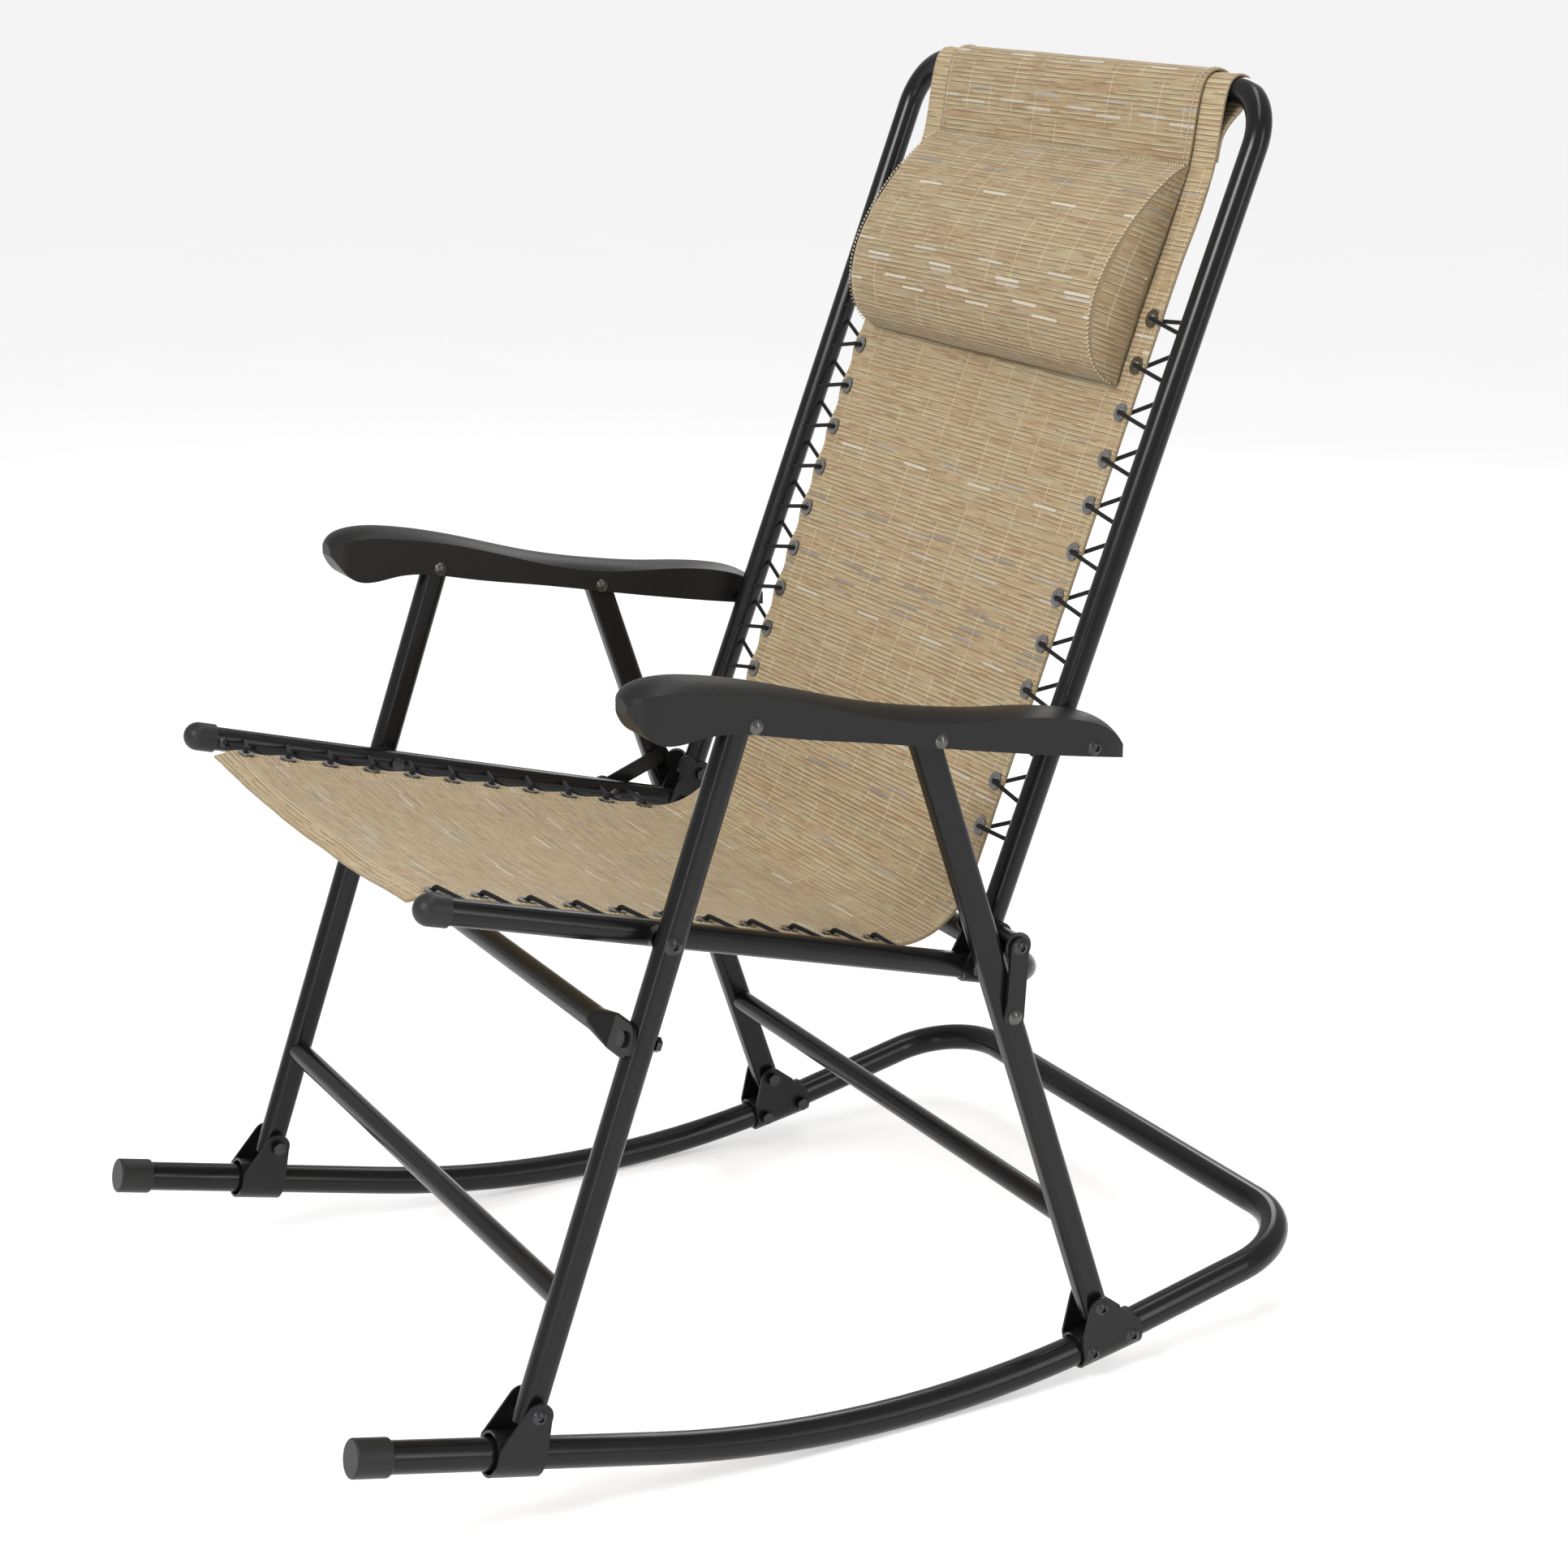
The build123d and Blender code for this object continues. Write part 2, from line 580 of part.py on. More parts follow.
def build_front_legs():
    front = leg(FOOT_PIVOT, ARM_FRONT, 11, 13, FRONT_LEG_CORNER)
    solid = leg(FOOT_PIVOT, ARM_FRONT, 11, 13, FRONT_LEG_CORNER, hollow=False)
    for pivot in (FOOT_PIVOT, ARM_FRONT):
        front -= rod(pivot, LEG_IN - 5, LEG_OUT + 5, BOLT_R + PIN_PLAY)
    pivot_bolt = socket_bolt(SEAT_FRONT, LEG_OUT, RAIL_X - FRAME_R - 5, BOLT_R, 7.5)
    spacer = ring(SEAT_FRONT, RAIL_OUT + TINY, LEG_IN, 9.0, BOLT_R)
    bar, middle, forward = upper_crossbar()
    fasteners = []
    for side in (1, -1):
        centre = middle + Vector(side * LEG_X, 0, 0)
        shank = Plane(origin=centre + forward * 1.7, z_dir=forward * -1)
        bolt = extrude(shank * Circle(3.0), amount=LEG_WIDE + 8)
        head = Plane(origin=centre + forward * 1.7, z_dir=forward)
        bolt += extrude(head * Circle(6.5), amount=2.6)
        tail = Plane(origin=centre - forward * (LEG_WIDE + 1.8), z_dir=forward * -1)
        bolt += extrude(tail * RegularPolygon(6.2, 6), amount=4.5)
        fasteners.append(bolt)
    front -= pivot_bolt
    front -= fasteners[0]
    both_sides("front_leg", front)
    parts["front_crossbar_lower"] = crossbar(on_front_leg(LOWER_BAR_Z), solid)
    parts["front_crossbar_upper"] = bar
    group("front_crossbar_bolts", fasteners)
    group("seat_pivot_bolts", pair(pivot_bolt))
    group("seat_pivot_spacers", pair(spacer))


def build_rear_legs():
    rear = leg(HEEL_PIVOT, ARM_MID, 11, 5, REAR_LEG_CORNER)
    solid = leg(HEEL_PIVOT, ARM_MID, 11, 5, REAR_LEG_CORNER, hollow=False)
    rear -= rod(HEEL_PIVOT, LEG_IN - 5, LEG_OUT + 5, BOLT_R + PIN_PLAY)
    link_pin = rod(LINK_LOW, LEG_IN - 3, LEG_OUT + 6, BOLT_R)
    link_pin += dome_head(LINK_LOW, LEG_OUT + 6, 1, 6.5, 3.0)
    link_pin += dome_head(LINK_LOW, LEG_IN, -1, 6.0, 3.0)
    washer = ring(LINK_LOW, LEG_OUT, LEG_OUT + 2.6, 7.5, BOLT_R)
    rear -= link_pin
    latch_pin = rod(LATCH_PIVOT, -LATCH_X + 0.3, -LEG_OUT, 3.0)
    latch_pin += rod(LATCH_PIVOT, -LATCH_X + 1.5, -LATCH_X + 0.3, 5.5)
    latch_pin += dome_head(LATCH_PIVOT, -LEG_OUT, -1, 6.0, 2.5)
    latch_washer = ring(LATCH_PIVOT, -LEG_IN, -LATCH_X - LATCH_T - 0.3, 6.5, 3.0)
    parts["rear_leg_left"] = rear
    parts["rear_leg_right"] = mirror(rear, Plane.YZ) - latch_pin
    parts["rear_crossbar"] = crossbar(on_rear_leg(REAR_BAR_Z), solid)
    group("link_rivets", pair(link_pin))
    group("link_washers", pair(washer))
    parts["latch_rivet"] = latch_pin
    parts["latch_washer"] = latch_washer


def build_links():
    inner_x = LEG_OUT + 2.9
    reach = hypot(BACK_HINGE[0] - LINK_LOW[0], BACK_HINGE[1] - LINK_LOW[1])
    tilt = degrees(atan2(BACK_HINGE[1] - LINK_LOW[1], BACK_HINGE[0] - LINK_LOW[0]))
    face = SlotCenterToCenter(reach, 17.0)
    middle = ((BACK_HINGE[0] + LINK_LOW[0]) / 2, (BACK_HINGE[1] + LINK_LOW[1]) / 2)
    plane = side_plane(inner_x)
    link = extrude(plane * Pos(*middle) * Rot(0, 0, tilt) * face, amount=2.8)
    link -= rod(LINK_LOW, inner_x - 5, inner_x + 9, BOLT_R + PIN_PLAY)
    link -= rod(BACK_HINGE, inner_x - 5, inner_x + 9, BOLT_R + 0.5)
    bolt = rod(BACK_HINGE, inner_x, inner_x + 2.8, BOLT_R + 0.5)
    bolt += socket_bolt(BACK_HINGE, inner_x + 2.8, inner_x, BOLT_R, 6.5, nut=False)
    both_sides("link_bar", link)
    group("link_top_bolts", pair(bolt))


def build_latch():
    """Flat spring bar pivoted on the sitter's right rear leg, snapped over a low stud on the rail."""
    direction = toward(LATCH_PIVOT, LATCH_STUD)
    reach = hypot(LATCH_STUD[0] - LATCH_PIVOT[0], LATCH_STUD[1] - LATCH_PIVOT[1])
    tilt = degrees(atan2(direction[1], direction[0]))
    inner = side_plane(-LATCH_X - LATCH_T) * Pos(*LATCH_PIVOT) * Rot(0, 0, tilt)
    bar = Pos(reach / 2, 0) * SlotCenterToCenter(reach, LATCH_WIDE)
    plate = extrude(inner * bar, amount=LATCH_T)
    plate -= rod(LATCH_PIVOT, -RAIL_OUT, -LEG_IN, 3.0 + PIN_PLAY)
    plate += dome_head(along(LATCH_PIVOT, direction, 40.0), -LATCH_X, 1, 3.6, 0.5)
    knob = rod(LATCH_STUD, -LATCH_X - LATCH_T - 4, -LATCH_X - LATCH_T, KNOB_R)
    knob += dome_head(LATCH_STUD, -LATCH_X - LATCH_T - 4, -1, KNOB_R, 3.0)
    parts["latch_bar"] = plate
    parts["latch_knob"] = knob


def build_arms():
    arm = armrest()
    outer = ARM_X + 22
    rivets = []
    front_rivet = rod(ARM_FRONT, ARM_X - 22, outer, BOLT_R)
    front_rivet += dome_head(ARM_FRONT, outer, 1, 6.0, 2.6)
    front_rivet += dome_head(ARM_FRONT, ARM_X - 22, -1, 6.0, 2.6)
    rivets.append(front_rivet)
    for x, side in ((outer, 1), (ARM_X - 22, -1)):
        stub = rod(ARM_MID, x, x - side * ARM_WALL, BOLT_R)
        stub += dome_head(ARM_MID, x, side, 6.0, 2.6)
        rivets.append(stub)
    rear_bolt = rod(ARM_REAR, RAIL_OUT + 0.5, outer, BOLT_R)
    rear_bolt += ring(ARM_REAR, RAIL_OUT + 0.5, ARM_X - 22, 5.2, BOLT_R)
    rear_bolt += socket_bolt(ARM_REAR, outer, ARM_X, BOLT_R, 6.5, nut=False)
    for pin in (*rivets, rear_bolt):
        arm -= pin
    both_sides("armrest", arm)
    group("armrest_rivets", [s for rivet in rivets for s in pair(rivet)])
    group("armrest_rear_bolts", pair(rear_bolt))


def build_seat():
    frame = round_tube(seat_path(), FRAME_R)
    cord, drills = lace(rail_frame, SEAT_EYELET_START, SEAT_EYELETS, SEAT_PHASE, 1)
    frame = drilled(frame, drills)
    saddle = seat_bracket()
    clamp_at = on_rail(BACK_HINGE[0] - 20)
    clamp = socket_bolt(clamp_at, RAIL_X + FRAME_R + 2.6, RAIL_X - FRAME_R - 7, 3.0, 4.6)
    hinge = rod(BACK_HINGE, RAIL_X - FRAME_R - 7, LEG_OUT + 2.6, BOLT_R)
    nut = Plane(origin=at(BACK_HINGE, RAIL_X - FRAME_R - 7), z_dir=(1, 0, 0)) * RegularPolygon(6.4, 6)
    hinge += extrude(nut, amount=4.5)
    disc = ring(BACK_HINGE, RAIL_X + FRAME_R + 2.6, LEG_OUT + 2.6, 9.4, BOLT_R)
    disc += ring(BACK_HINGE, LEG_OUT + 0.5, LEG_OUT + 2.6, 12.0, BOLT_R)
    stop_at = (BACK_HINGE[0] - 15, BACK_HINGE[1] + 10)
    bracket_out = RAIL_X + FRAME_R + 2.6
    stop = rod(stop_at, bracket_out, bracket_out + 3.8, 8.0)
    stop += dome_head(stop_at, bracket_out + 3.8, 1, 8.0, 1.6)
    stud = rod(LATCH_STUD, -RAIL_X + FRAME_R, -LATCH_X + 0.6, 3.0)
    stud += rod(LATCH_STUD, -RAIL_OUT - 1.2, -LATCH_X + 0.6, 7.0)
    stud += dome_head(LATCH_STUD, -RAIL_X + FRAME_R, 1, 6.0, 3.0)
    for cut in (*pair(clamp), stud):
        frame -= cut
    for side in (1, -1):
        frame -= rod(SEAT_FRONT, side * (RAIL_X - 20), side * (RAIL_X + 20), BOLT_R + PIN_PLAY)
    saddle -= clamp
    saddle -= hinge
    saddle -= frame
    saddle = max(saddle.solids(), key=lambda s: s.volume)
    screws = []
    for distance in (LACE_SCREW_FRONT, LACE_SCREW_REAR):
        point = rail_frame(distance)[0]
        screw = rod(point, RAIL_X - FRAME_R - 2.4, RAIL_X - FRAME_R + 6, 2.2)
        screw += dome_head(point, RAIL_X - FRAME_R - 0.2, -1, 4.2, 2.2)
        screws += pair(screw)
    for screw in screws:
        frame -= screw
    parts["seat_frame"] = frame
    both_sides("seat_cap", seat_cap())
    both_sides("seat_bracket", saddle)
    group("seat_bracket_bolts", pair(clamp))
    group("back_hinge_bolts", pair(hinge))
    group("back_hinge_spacers", pair(disc))
    parts["back_stop"] = stop
    parts["latch_stud"] = stud
    group("lace_screws", screws)
    axes = list(eyelet_axes(rail_frame, SEAT_EYELET_START, SEAT_EYELETS))
    parts["seat_sling"] = sling_panel(seat_sling_path(), axes)
    group("seat_eyelets", [eyelet(axis) for axis in axes])
    both_sides("seat_lace", cord)


def build_back():
    frame = round_tube(back_path(), FRAME_R)
    cord, drills = lace(back_frame_point, BACK_EYELET_START, BACK_EYELETS, BACK_PHASE, -1)
    frame = drilled(frame, drills)
    for side in (1, -1):
        frame -= rod(BACK_HINGE, side * (RAIL_X - 20), side * (RAIL_X + 20), BOLT_R + PIN_PLAY)
    parts["back_frame"] = frame
    axes = list(eyelet_axes(back_frame_point, BACK_EYELET_START, BACK_EYELETS))
    plane, sleeve = top_sleeve()
    reach = (BACK_TOP_Z - BACK_FOOT[1]) / BACK_DIR[1]
    low = back_frame_point(SLING_SPLIT + 4)[0]
    high = back_frame_point(reach - 60)[0]
    panel = sling_panel(Line(at(low, 0), at(high, 0)), axes)
    panel += extrude(plane * sleeve, amount=2 * SLEEVE_X)
    parts["back_sling"] = panel
    group("back_eyelets", [eyelet(axis) for axis in axes])
    both_sides("back_lace", cord)
    parts["headrest"] = headrest()


build_base()
build_shoes()
build_front_legs()
build_rear_legs()
build_links()
build_latch()
build_arms()
build_seat()
build_back()

os.makedirs("parts", exist_ok=True)
for name, shape in parts.items():
    export_step(shape, f"parts/{name}.step")
box = Compound(children=list(parts.values())).bounding_box()
print("bounding box", box.min, box.max)
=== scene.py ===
"""Looks of the folding sling rocking chair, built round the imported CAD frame. Metres.

The chair faces -Y, +X is the sitter's left and +Z is up.
"""
import math
import bpy
import numpy as np
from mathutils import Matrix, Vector, noise


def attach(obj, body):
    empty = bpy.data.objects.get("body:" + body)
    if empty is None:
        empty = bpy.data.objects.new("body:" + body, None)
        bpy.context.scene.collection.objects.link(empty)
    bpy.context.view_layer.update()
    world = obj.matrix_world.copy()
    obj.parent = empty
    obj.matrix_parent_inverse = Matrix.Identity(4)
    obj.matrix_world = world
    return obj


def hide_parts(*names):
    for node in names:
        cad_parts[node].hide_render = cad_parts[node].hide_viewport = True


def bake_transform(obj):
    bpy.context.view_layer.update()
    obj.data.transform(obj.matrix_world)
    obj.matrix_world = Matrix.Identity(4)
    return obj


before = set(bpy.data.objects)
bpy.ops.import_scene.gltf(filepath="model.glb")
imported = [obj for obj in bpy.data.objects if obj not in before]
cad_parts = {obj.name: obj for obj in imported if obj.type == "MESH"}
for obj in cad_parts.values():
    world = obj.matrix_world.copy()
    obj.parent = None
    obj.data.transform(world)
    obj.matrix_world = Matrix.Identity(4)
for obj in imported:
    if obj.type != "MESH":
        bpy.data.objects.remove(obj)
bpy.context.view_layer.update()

# ---------------------------------------------------------------- sizes shared with the frame
MM = 0.001
RAIL_SLOPE = math.radians(-15.3)
BACK_LEAN = math.radians(21.0)
RAIL_FRONT = np.array((-364.0, 511.0)) * MM       # y, z of the rail axis at its front end
BACK_FOOT = np.array((114.6, 399.5)) * MM         # y, z of the upright's axis at its foot
RAIL_DIR = np.array((math.cos(RAIL_SLOPE), math.sin(RAIL_SLOPE)))
BACK_DIR = np.array((math.sin(BACK_LEAN), math.cos(BACK_LEAN)))
BACK_TOP = (1067.0 * MM - BACK_FOOT[1]) / BACK_DIR[1]   # top bar's axis, up the upright
TUBE_R = 10.5 * MM
BEND_R = 66.0 * MM
EYELET_X = 208.0 * MM
HEM_X = 218.0 * MM
PITCH = 39.6 * MM
SEAT_FIRST = 24.0 * MM
SEAT_COUNT = 11
BACK_FIRST = 87.0 * MM
BACK_COUNT = 12

# ---------------------------------------------------------------- sizes of the cloth
SHEET_T = 1.1 * MM
HEM_T = 2.3 * MM
HEM_WIDE = 25.0 * MM
STITCH_IN = 18.0 * MM           # side hem's seam, in from the edge
FRONT_HEM = 22.0 * MM
HOLE = 4.7 * MM
SLEEVE_GAP = 1.4 * MM           # air between the sleeve and the top bar
TAIL = 60.0 * MM                # sleeve's back wall under the bar
CLOSE_BY = 48.0 * MM            # where that wall meets the panel again
SLEEVE_RISE = 75.0 * MM         # below the bar, where the panel leaves the uprights' plane
HEM_STEP = 0.6 * MM             # half the width of the step from one layer to two
SIDE_FOLD = 9.0 * MM            # narrow hem of the sleeve's ends and of the flap
FOLD_T = 0.9 * MM               # thickness that this hem adds
EDGE_SEAM = 3.2 * MM            # side hem's outer seam, in from the edge
FRONT_SEAMS = (4.0 * MM, 9.0 * MM)      # front hem's seams, in from the hem's end
SLEEVE_SEAMS = (50.0 * MM, 55.0 * MM)   # seams through both walls, under the bar
SEAM_STOP = 82.0 * MM           # side seams end this far below the bar
ROUND_OFF = 1 - 1 / math.sqrt(2)        # moves a square's corners onto its inner circle
PANEL_SAG = 4.0                 # sag of the sling's middle everywhere, in mm
SEAT_SAG = 6.0                  # and what the seat and the back add
BACK_SAG = 3.0
FRONT_LIP = 5.0 * MM            # how far the front hem turns down
FRONT_DROOP = 5.0 * MM          # and how far its middle hangs
PILLOW_HALF = 190.0 * MM
PILLOW_LOW = 463.0 * MM         # lower edge, up the upright
PILLOW_HIGH = 648.0 * MM        # top seam, up the upright
PILLOW_DEEP = 47.0 * MM
PILLOW_LIP = 5.0 * MM           # height of the seams over the uprights' plane
PILLOW_AIR = 2.5 * MM           # least height of the front skin over the sling
PUFF = 7.0 * MM                 # furthest that the inflation moves a point
FLAP_HALF = 190.0 * MM
FLAP_TAIL = 74.0 * MM
FLAP_AIR = 2.4 * MM             # flap's middle over the sling's face
FLAP_GAP = 2.6 * MM             # flap's middle over the sleeve's middle
FLAP_SEAM = 6.0 * MM            # flap's seams, in from its edges


def smooth(t):
    t = np.clip(t, 0.0, 1.0)
    return t * t * (3 - 2 * t)


def left_of(direction):
    return np.array((-direction[1], direction[0]))


# ---------------------------------------------------------------- shader helpers
class Graph:
    """A material's node tree, with short calls for the nodes used here."""

    def __init__(self, name, **values):
        self.material = bpy.data.materials.new(name)
        self.material.use_nodes = True
        self.tree = self.material.node_tree
        self.tree.nodes.clear()
        self.out = self.tree.nodes.new("ShaderNodeOutputMaterial")
        self.shader = self.tree.nodes.new("ShaderNodeBsdfPrincipled")
        self.link(self.shader.outputs[0], self.out.inputs[0])
        for key, value in values.items():
            self.shader.inputs[key.replace("_", " ")].default_value = value

    def link(self, source, target):
        self.tree.links.new(source, target)

    def feed(self, value, socket):
        if isinstance(value, bpy.types.NodeSocket):
            self.link(value, socket)
        else:
            socket.default_value = value

    def math(self, operation, a, b=0.0, c=0.0):
        node = self.tree.nodes.new("ShaderNodeMath")
        node.operation = operation
        for value, socket in zip((a, b, c), node.inputs):
            self.feed(value, socket)
        return node.outputs[0]

    def combine(self, x, y, z=0.0):
        node = self.tree.nodes.new("ShaderNodeCombineXYZ")
        for value, socket in zip((x, y, z), node.inputs):
            self.feed(value, socket)
        return node.outputs[0]

    def split(self, vector):
        node = self.tree.nodes.new("ShaderNodeSeparateXYZ")
        self.link(vector, node.inputs[0])
        return node.outputs[0], node.outputs[1], node.outputs[2]

    def attribute(self, name):
        node = self.tree.nodes.new("ShaderNodeAttribute")
        node.attribute_name = name
        return node.outputs["Vector"]

    def place(self):
        return self.tree.nodes.new("ShaderNodeTexCoord").outputs["Object"]

    def noise(self, vector, scale, detail=2.0, rough=0.5):
        node = self.tree.nodes.new("ShaderNodeTexNoise")
        self.feed(vector, node.inputs["Vector"])
        node.inputs["Scale"].default_value = scale
        node.inputs["Detail"].default_value = detail
        node.inputs["Roughness"].default_value = rough
        return node.outputs["Fac"]

    def white(self, vector):
        node = self.tree.nodes.new("ShaderNodeTexWhiteNoise")
        node.noise_dimensions = "2D"
        self.link(vector, node.inputs["Vector"])
        return node.outputs["Value"]

    def cells(self, vector, scale):
        node = self.tree.nodes.new("ShaderNodeTexVoronoi")
        self.feed(vector, node.inputs["Vector"])
        node.inputs["Scale"].default_value = scale
        return node.outputs["Distance"]

    def ramp(self, fac, *stops):
        node = self.tree.nodes.new("ShaderNodeValToRGB")
        self.link(fac, node.inputs[0])
        elements = node.color_ramp.elements
        while len(elements) < len(stops):
            elements.new(0.5)
        for element, (position, colour) in zip(elements, stops):
            element.position = position
            element.color = (*colour, 1)
        return node.outputs["Color"]

    def mix(self, fac, a, b):
        node = self.tree.nodes.new("ShaderNodeMix")
        node.data_type = "RGBA"
        self.feed(fac, node.inputs[0])
        for value, socket in ((a, node.inputs[6]), (b, node.inputs[7])):
            self.feed(value if isinstance(value, bpy.types.NodeSocket) else (*value, 1), socket)
        return node.outputs[2]

    def colour(self, value):
        self.link(value, self.shader.inputs["Base Color"])

    def rough(self, fac, low, high):
        node = self.tree.nodes.new("ShaderNodeMapRange")
        self.link(fac, node.inputs[0])
        node.inputs[3].default_value = low
        node.inputs[4].default_value = high
        self.link(node.outputs[0], self.shader.inputs["Roughness"])

    def bump(self, height, strength, distance):
        node = self.tree.nodes.new("ShaderNodeBump")
        node.inputs["Strength"].default_value = strength
        node.inputs["Distance"].default_value = distance
        self.link(height, node.inputs["Height"])
        self.link(node.outputs[0], self.shader.inputs["Normal"])


# ---------------------------------------------------------------- weave, lengths in metres
RIB = 4.1 * MM                  # from one crosswise rib to the next
RIB_DRIFT = 0.55                # how far a rib wanders, in ribs
GAP_SHARE = 0.22                # dark gap between two ribs, as a share of a rib
YARN_EDGE = (0.28, 0.50)        # pale edge of a rib, as shares of a rib
DASH_REPEAT = 0.105             # from one long dash to the next
DASH_SHARE = 0.34               # length of a dash, as a share of that
DASH_ROWS = 0.87                # rows with a random value over this have dashes
DASH_BAND = (0.20, 0.75)        # where a dash lies in its rib
WARP_REPEAT = 0.036             # from one lengthwise thread to the next
WARP_SHARE = 0.028              # width of a thread, as a share of that
WARP_PIECE = 0.021              # a thread shows or hides over this length
WARP_SHOWN = 0.45               # pieces with a random value over this show
WARP_SWAY = 0.012               # how far a thread wanders sideways
WEFT = 1.5 * MM                 # from one bump along a rib to the next

GAP_COLOUR = (0.115, 0.078, 0.052)
YARN_COLOUR = (0.58, 0.485, 0.31)
WARP_COLOUR = (0.62, 0.54, 0.39)
# dark brown that paints shade over a whole copy of the weave
PAINTED_SHADE_COLOUR = (0.03, 0.022, 0.016)
PATCH_TINTS = (
    (0.36, (0.31, 0.20, 0.105)),
    (0.50, (0.38, 0.288, 0.165)),
    (0.64, (0.385, 0.335, 0.215)),
)
DASH_TINTS = (
    (0.30, (0.22, 0.195, 0.18)),
    (0.60, (0.40, 0.365, 0.33)),
    (0.86, (0.60, 0.55, 0.46)),
)


def stretched(g, x, x_scale, y, y_scale):
    """A place on the cloth with its two directions scaled apart."""
    return g.combine(g.math("MULTIPLY", x, x_scale), g.math("MULTIPLY", y, y_scale))


def between(g, value, low, high):
    """1 where value lies between low and high, and 0 elsewhere."""
    over = g.math("GREATER_THAN", value, low)
    return g.math("MULTIPLY", over, g.math("LESS_THAN", value, high))


def rib_edges(g, body, across, row, within):
    """A dark gap and a pale yarn edge on every rib, both broken along the row."""
    broken = g.noise(stretched(g, across, 13.0, row, 1.37), 1.0)
    gap = g.math("LESS_THAN", within, GAP_SHARE)
    gap = g.math("MULTIPLY", gap, g.math("GREATER_THAN", broken, 0.44))
    edge = between(g, within, *YARN_EDGE)
    edge = g.math("MULTIPLY", edge, g.math("GREATER_THAN", broken, 0.50))
    body = g.mix(g.math("MULTIPLY", gap, 0.60), body, GAP_COLOUR)
    return g.mix(g.math("MULTIPLY", edge, 0.50), body, YARN_COLOUR)


def long_dashes(g, body, across, row, within):
    """Long pale dashes, repeated across each row that has them."""
    start = g.white(g.combine(row, 3.0))
    some = g.white(g.combine(row, 11.0))
    tone = g.white(g.combine(row, 23.0))
    repeat = g.math("FRACT", g.math("ADD", g.math("DIVIDE", across, DASH_REPEAT), start))
    dash = g.math("LESS_THAN", repeat, DASH_SHARE)
    dash = g.math("MULTIPLY", dash, g.math("GREATER_THAN", some, DASH_ROWS))
    dash = g.math("MULTIPLY", dash, between(g, within, *DASH_BAND))
    return g.mix(g.math("MULTIPLY", dash, 0.8), body, g.ramp(tone, *DASH_TINTS))


def warp_threads(g, across, up):
    """1 on the thin lengthwise threads, which sway and come and go."""
    wander = g.noise(g.combine(0.0, g.math("MULTIPLY", up, 14.0)), 1.0)
    sway = g.math("MULTIPLY", wander, WARP_SWAY)
    column = g.math("DIVIDE", g.math("ADD", across, sway), WARP_REPEAT)
    thread = g.math("LESS_THAN", g.math("FRACT", column), WARP_SHARE)
    piece = g.math("FLOOR", g.math("DIVIDE", up, WARP_PIECE))
    show = g.white(g.combine(g.math("FLOOR", column), piece))
    return g.math("MULTIPLY", thread, g.math("GREATER_THAN", show, WARP_SHOWN))


def woven(name, dark, ground, pale, unshaded_share=1.0):
    """Ribbed textilene: crosswise slub yarns, broken cream threads along it, long pale dashes."""
    g = Graph(name, Sheen_Weight=0.08, Sheen_Roughness=0.5, Specular_IOR_Level=0.3)
    across, up, _ = g.split(g.attribute("cloth"))
    drift = g.noise(stretched(g, across, 9.0, up, 40.0), 1.0)
    lane = g.math("ADD", g.math("DIVIDE", up, RIB), g.math("MULTIPLY", drift, RIB_DRIFT))
    row = g.math("FLOOR", lane)
    within = g.math("FRACT", lane)
    streak = g.noise(stretched(g, across, 34.0, up, 900.0), 1.0, 3.0, 0.6)
    patch = g.noise(stretched(g, across, 11.0, row, 0.83), 1.0)
    base = g.ramp(streak, (0.30, dark), (0.50, ground), (0.68, pale))
    body = g.mix(0.45, base, g.ramp(patch, *PATCH_TINTS))
    body = rib_edges(g, body, across, row, within)
    body = long_dashes(g, body, across, row, within)
    thread = warp_threads(g, across, up)
    body = g.mix(g.math("MULTIPLY", thread, 0.5), body, WARP_COLOUR)
    # painted shade: a last value under 1 darkens the whole weave towards a dark brown
    if unshaded_share != 1.0:
        body = g.mix(1 - unshaded_share, body, PAINTED_SHADE_COLOUR)
    g.colour(body)
    wave = g.math("SINE", g.math("MULTIPLY", within, 2 * math.pi))
    weft = g.math("SINE", g.math("MULTIPLY", across, 2 * math.pi / WEFT))
    height = g.math("ADD", g.math("MULTIPLY", wave, 0.5), g.math("MULTIPLY", weft, 0.18))
    height = g.math("ADD", height, g.math("MULTIPLY", streak, 0.9))
    height = g.math("ADD", height, g.math("MULTIPLY", thread, 0.5))
    g.bump(height, 0.55, 0.0006)
    g.rough(streak, 0.74, 0.92)
    return g.material


# ---------------------------------------------------------------- hard materials and cords
def coated_steel(name, colour, rough):
    """Black coating with a faint orange peel and cloudy gloss."""
    g = Graph(name, Specular_IOR_Level=0.26)
    where = g.place()
    peel = g.noise(where, 900.0, 2.0)
    cloud = g.noise(where, 24.0, 3.0)
    g.colour(g.mix(cloud, colour, tuple(1.5 * c + 0.002 for c in colour)))
    g.rough(g.noise(where, 60.0, 4.0), rough - 0.05, rough + 0.07)
    g.bump(peel, 0.10, 0.0004)
    return g.material


def bare_metal(name, colour, rough):
    g = Graph(name, Metallic=1.0)
    where = g.place()
    g.colour(g.mix(g.noise(where, 140.0, 3.0), colour, tuple(0.6 * c for c in colour)))
    g.rough(g.noise(where, 420.0, 3.0), rough - 0.06, rough + 0.10)
    g.bump(g.noise(where, 1500.0, 2.0), 0.08, 0.0002)
    return g.material


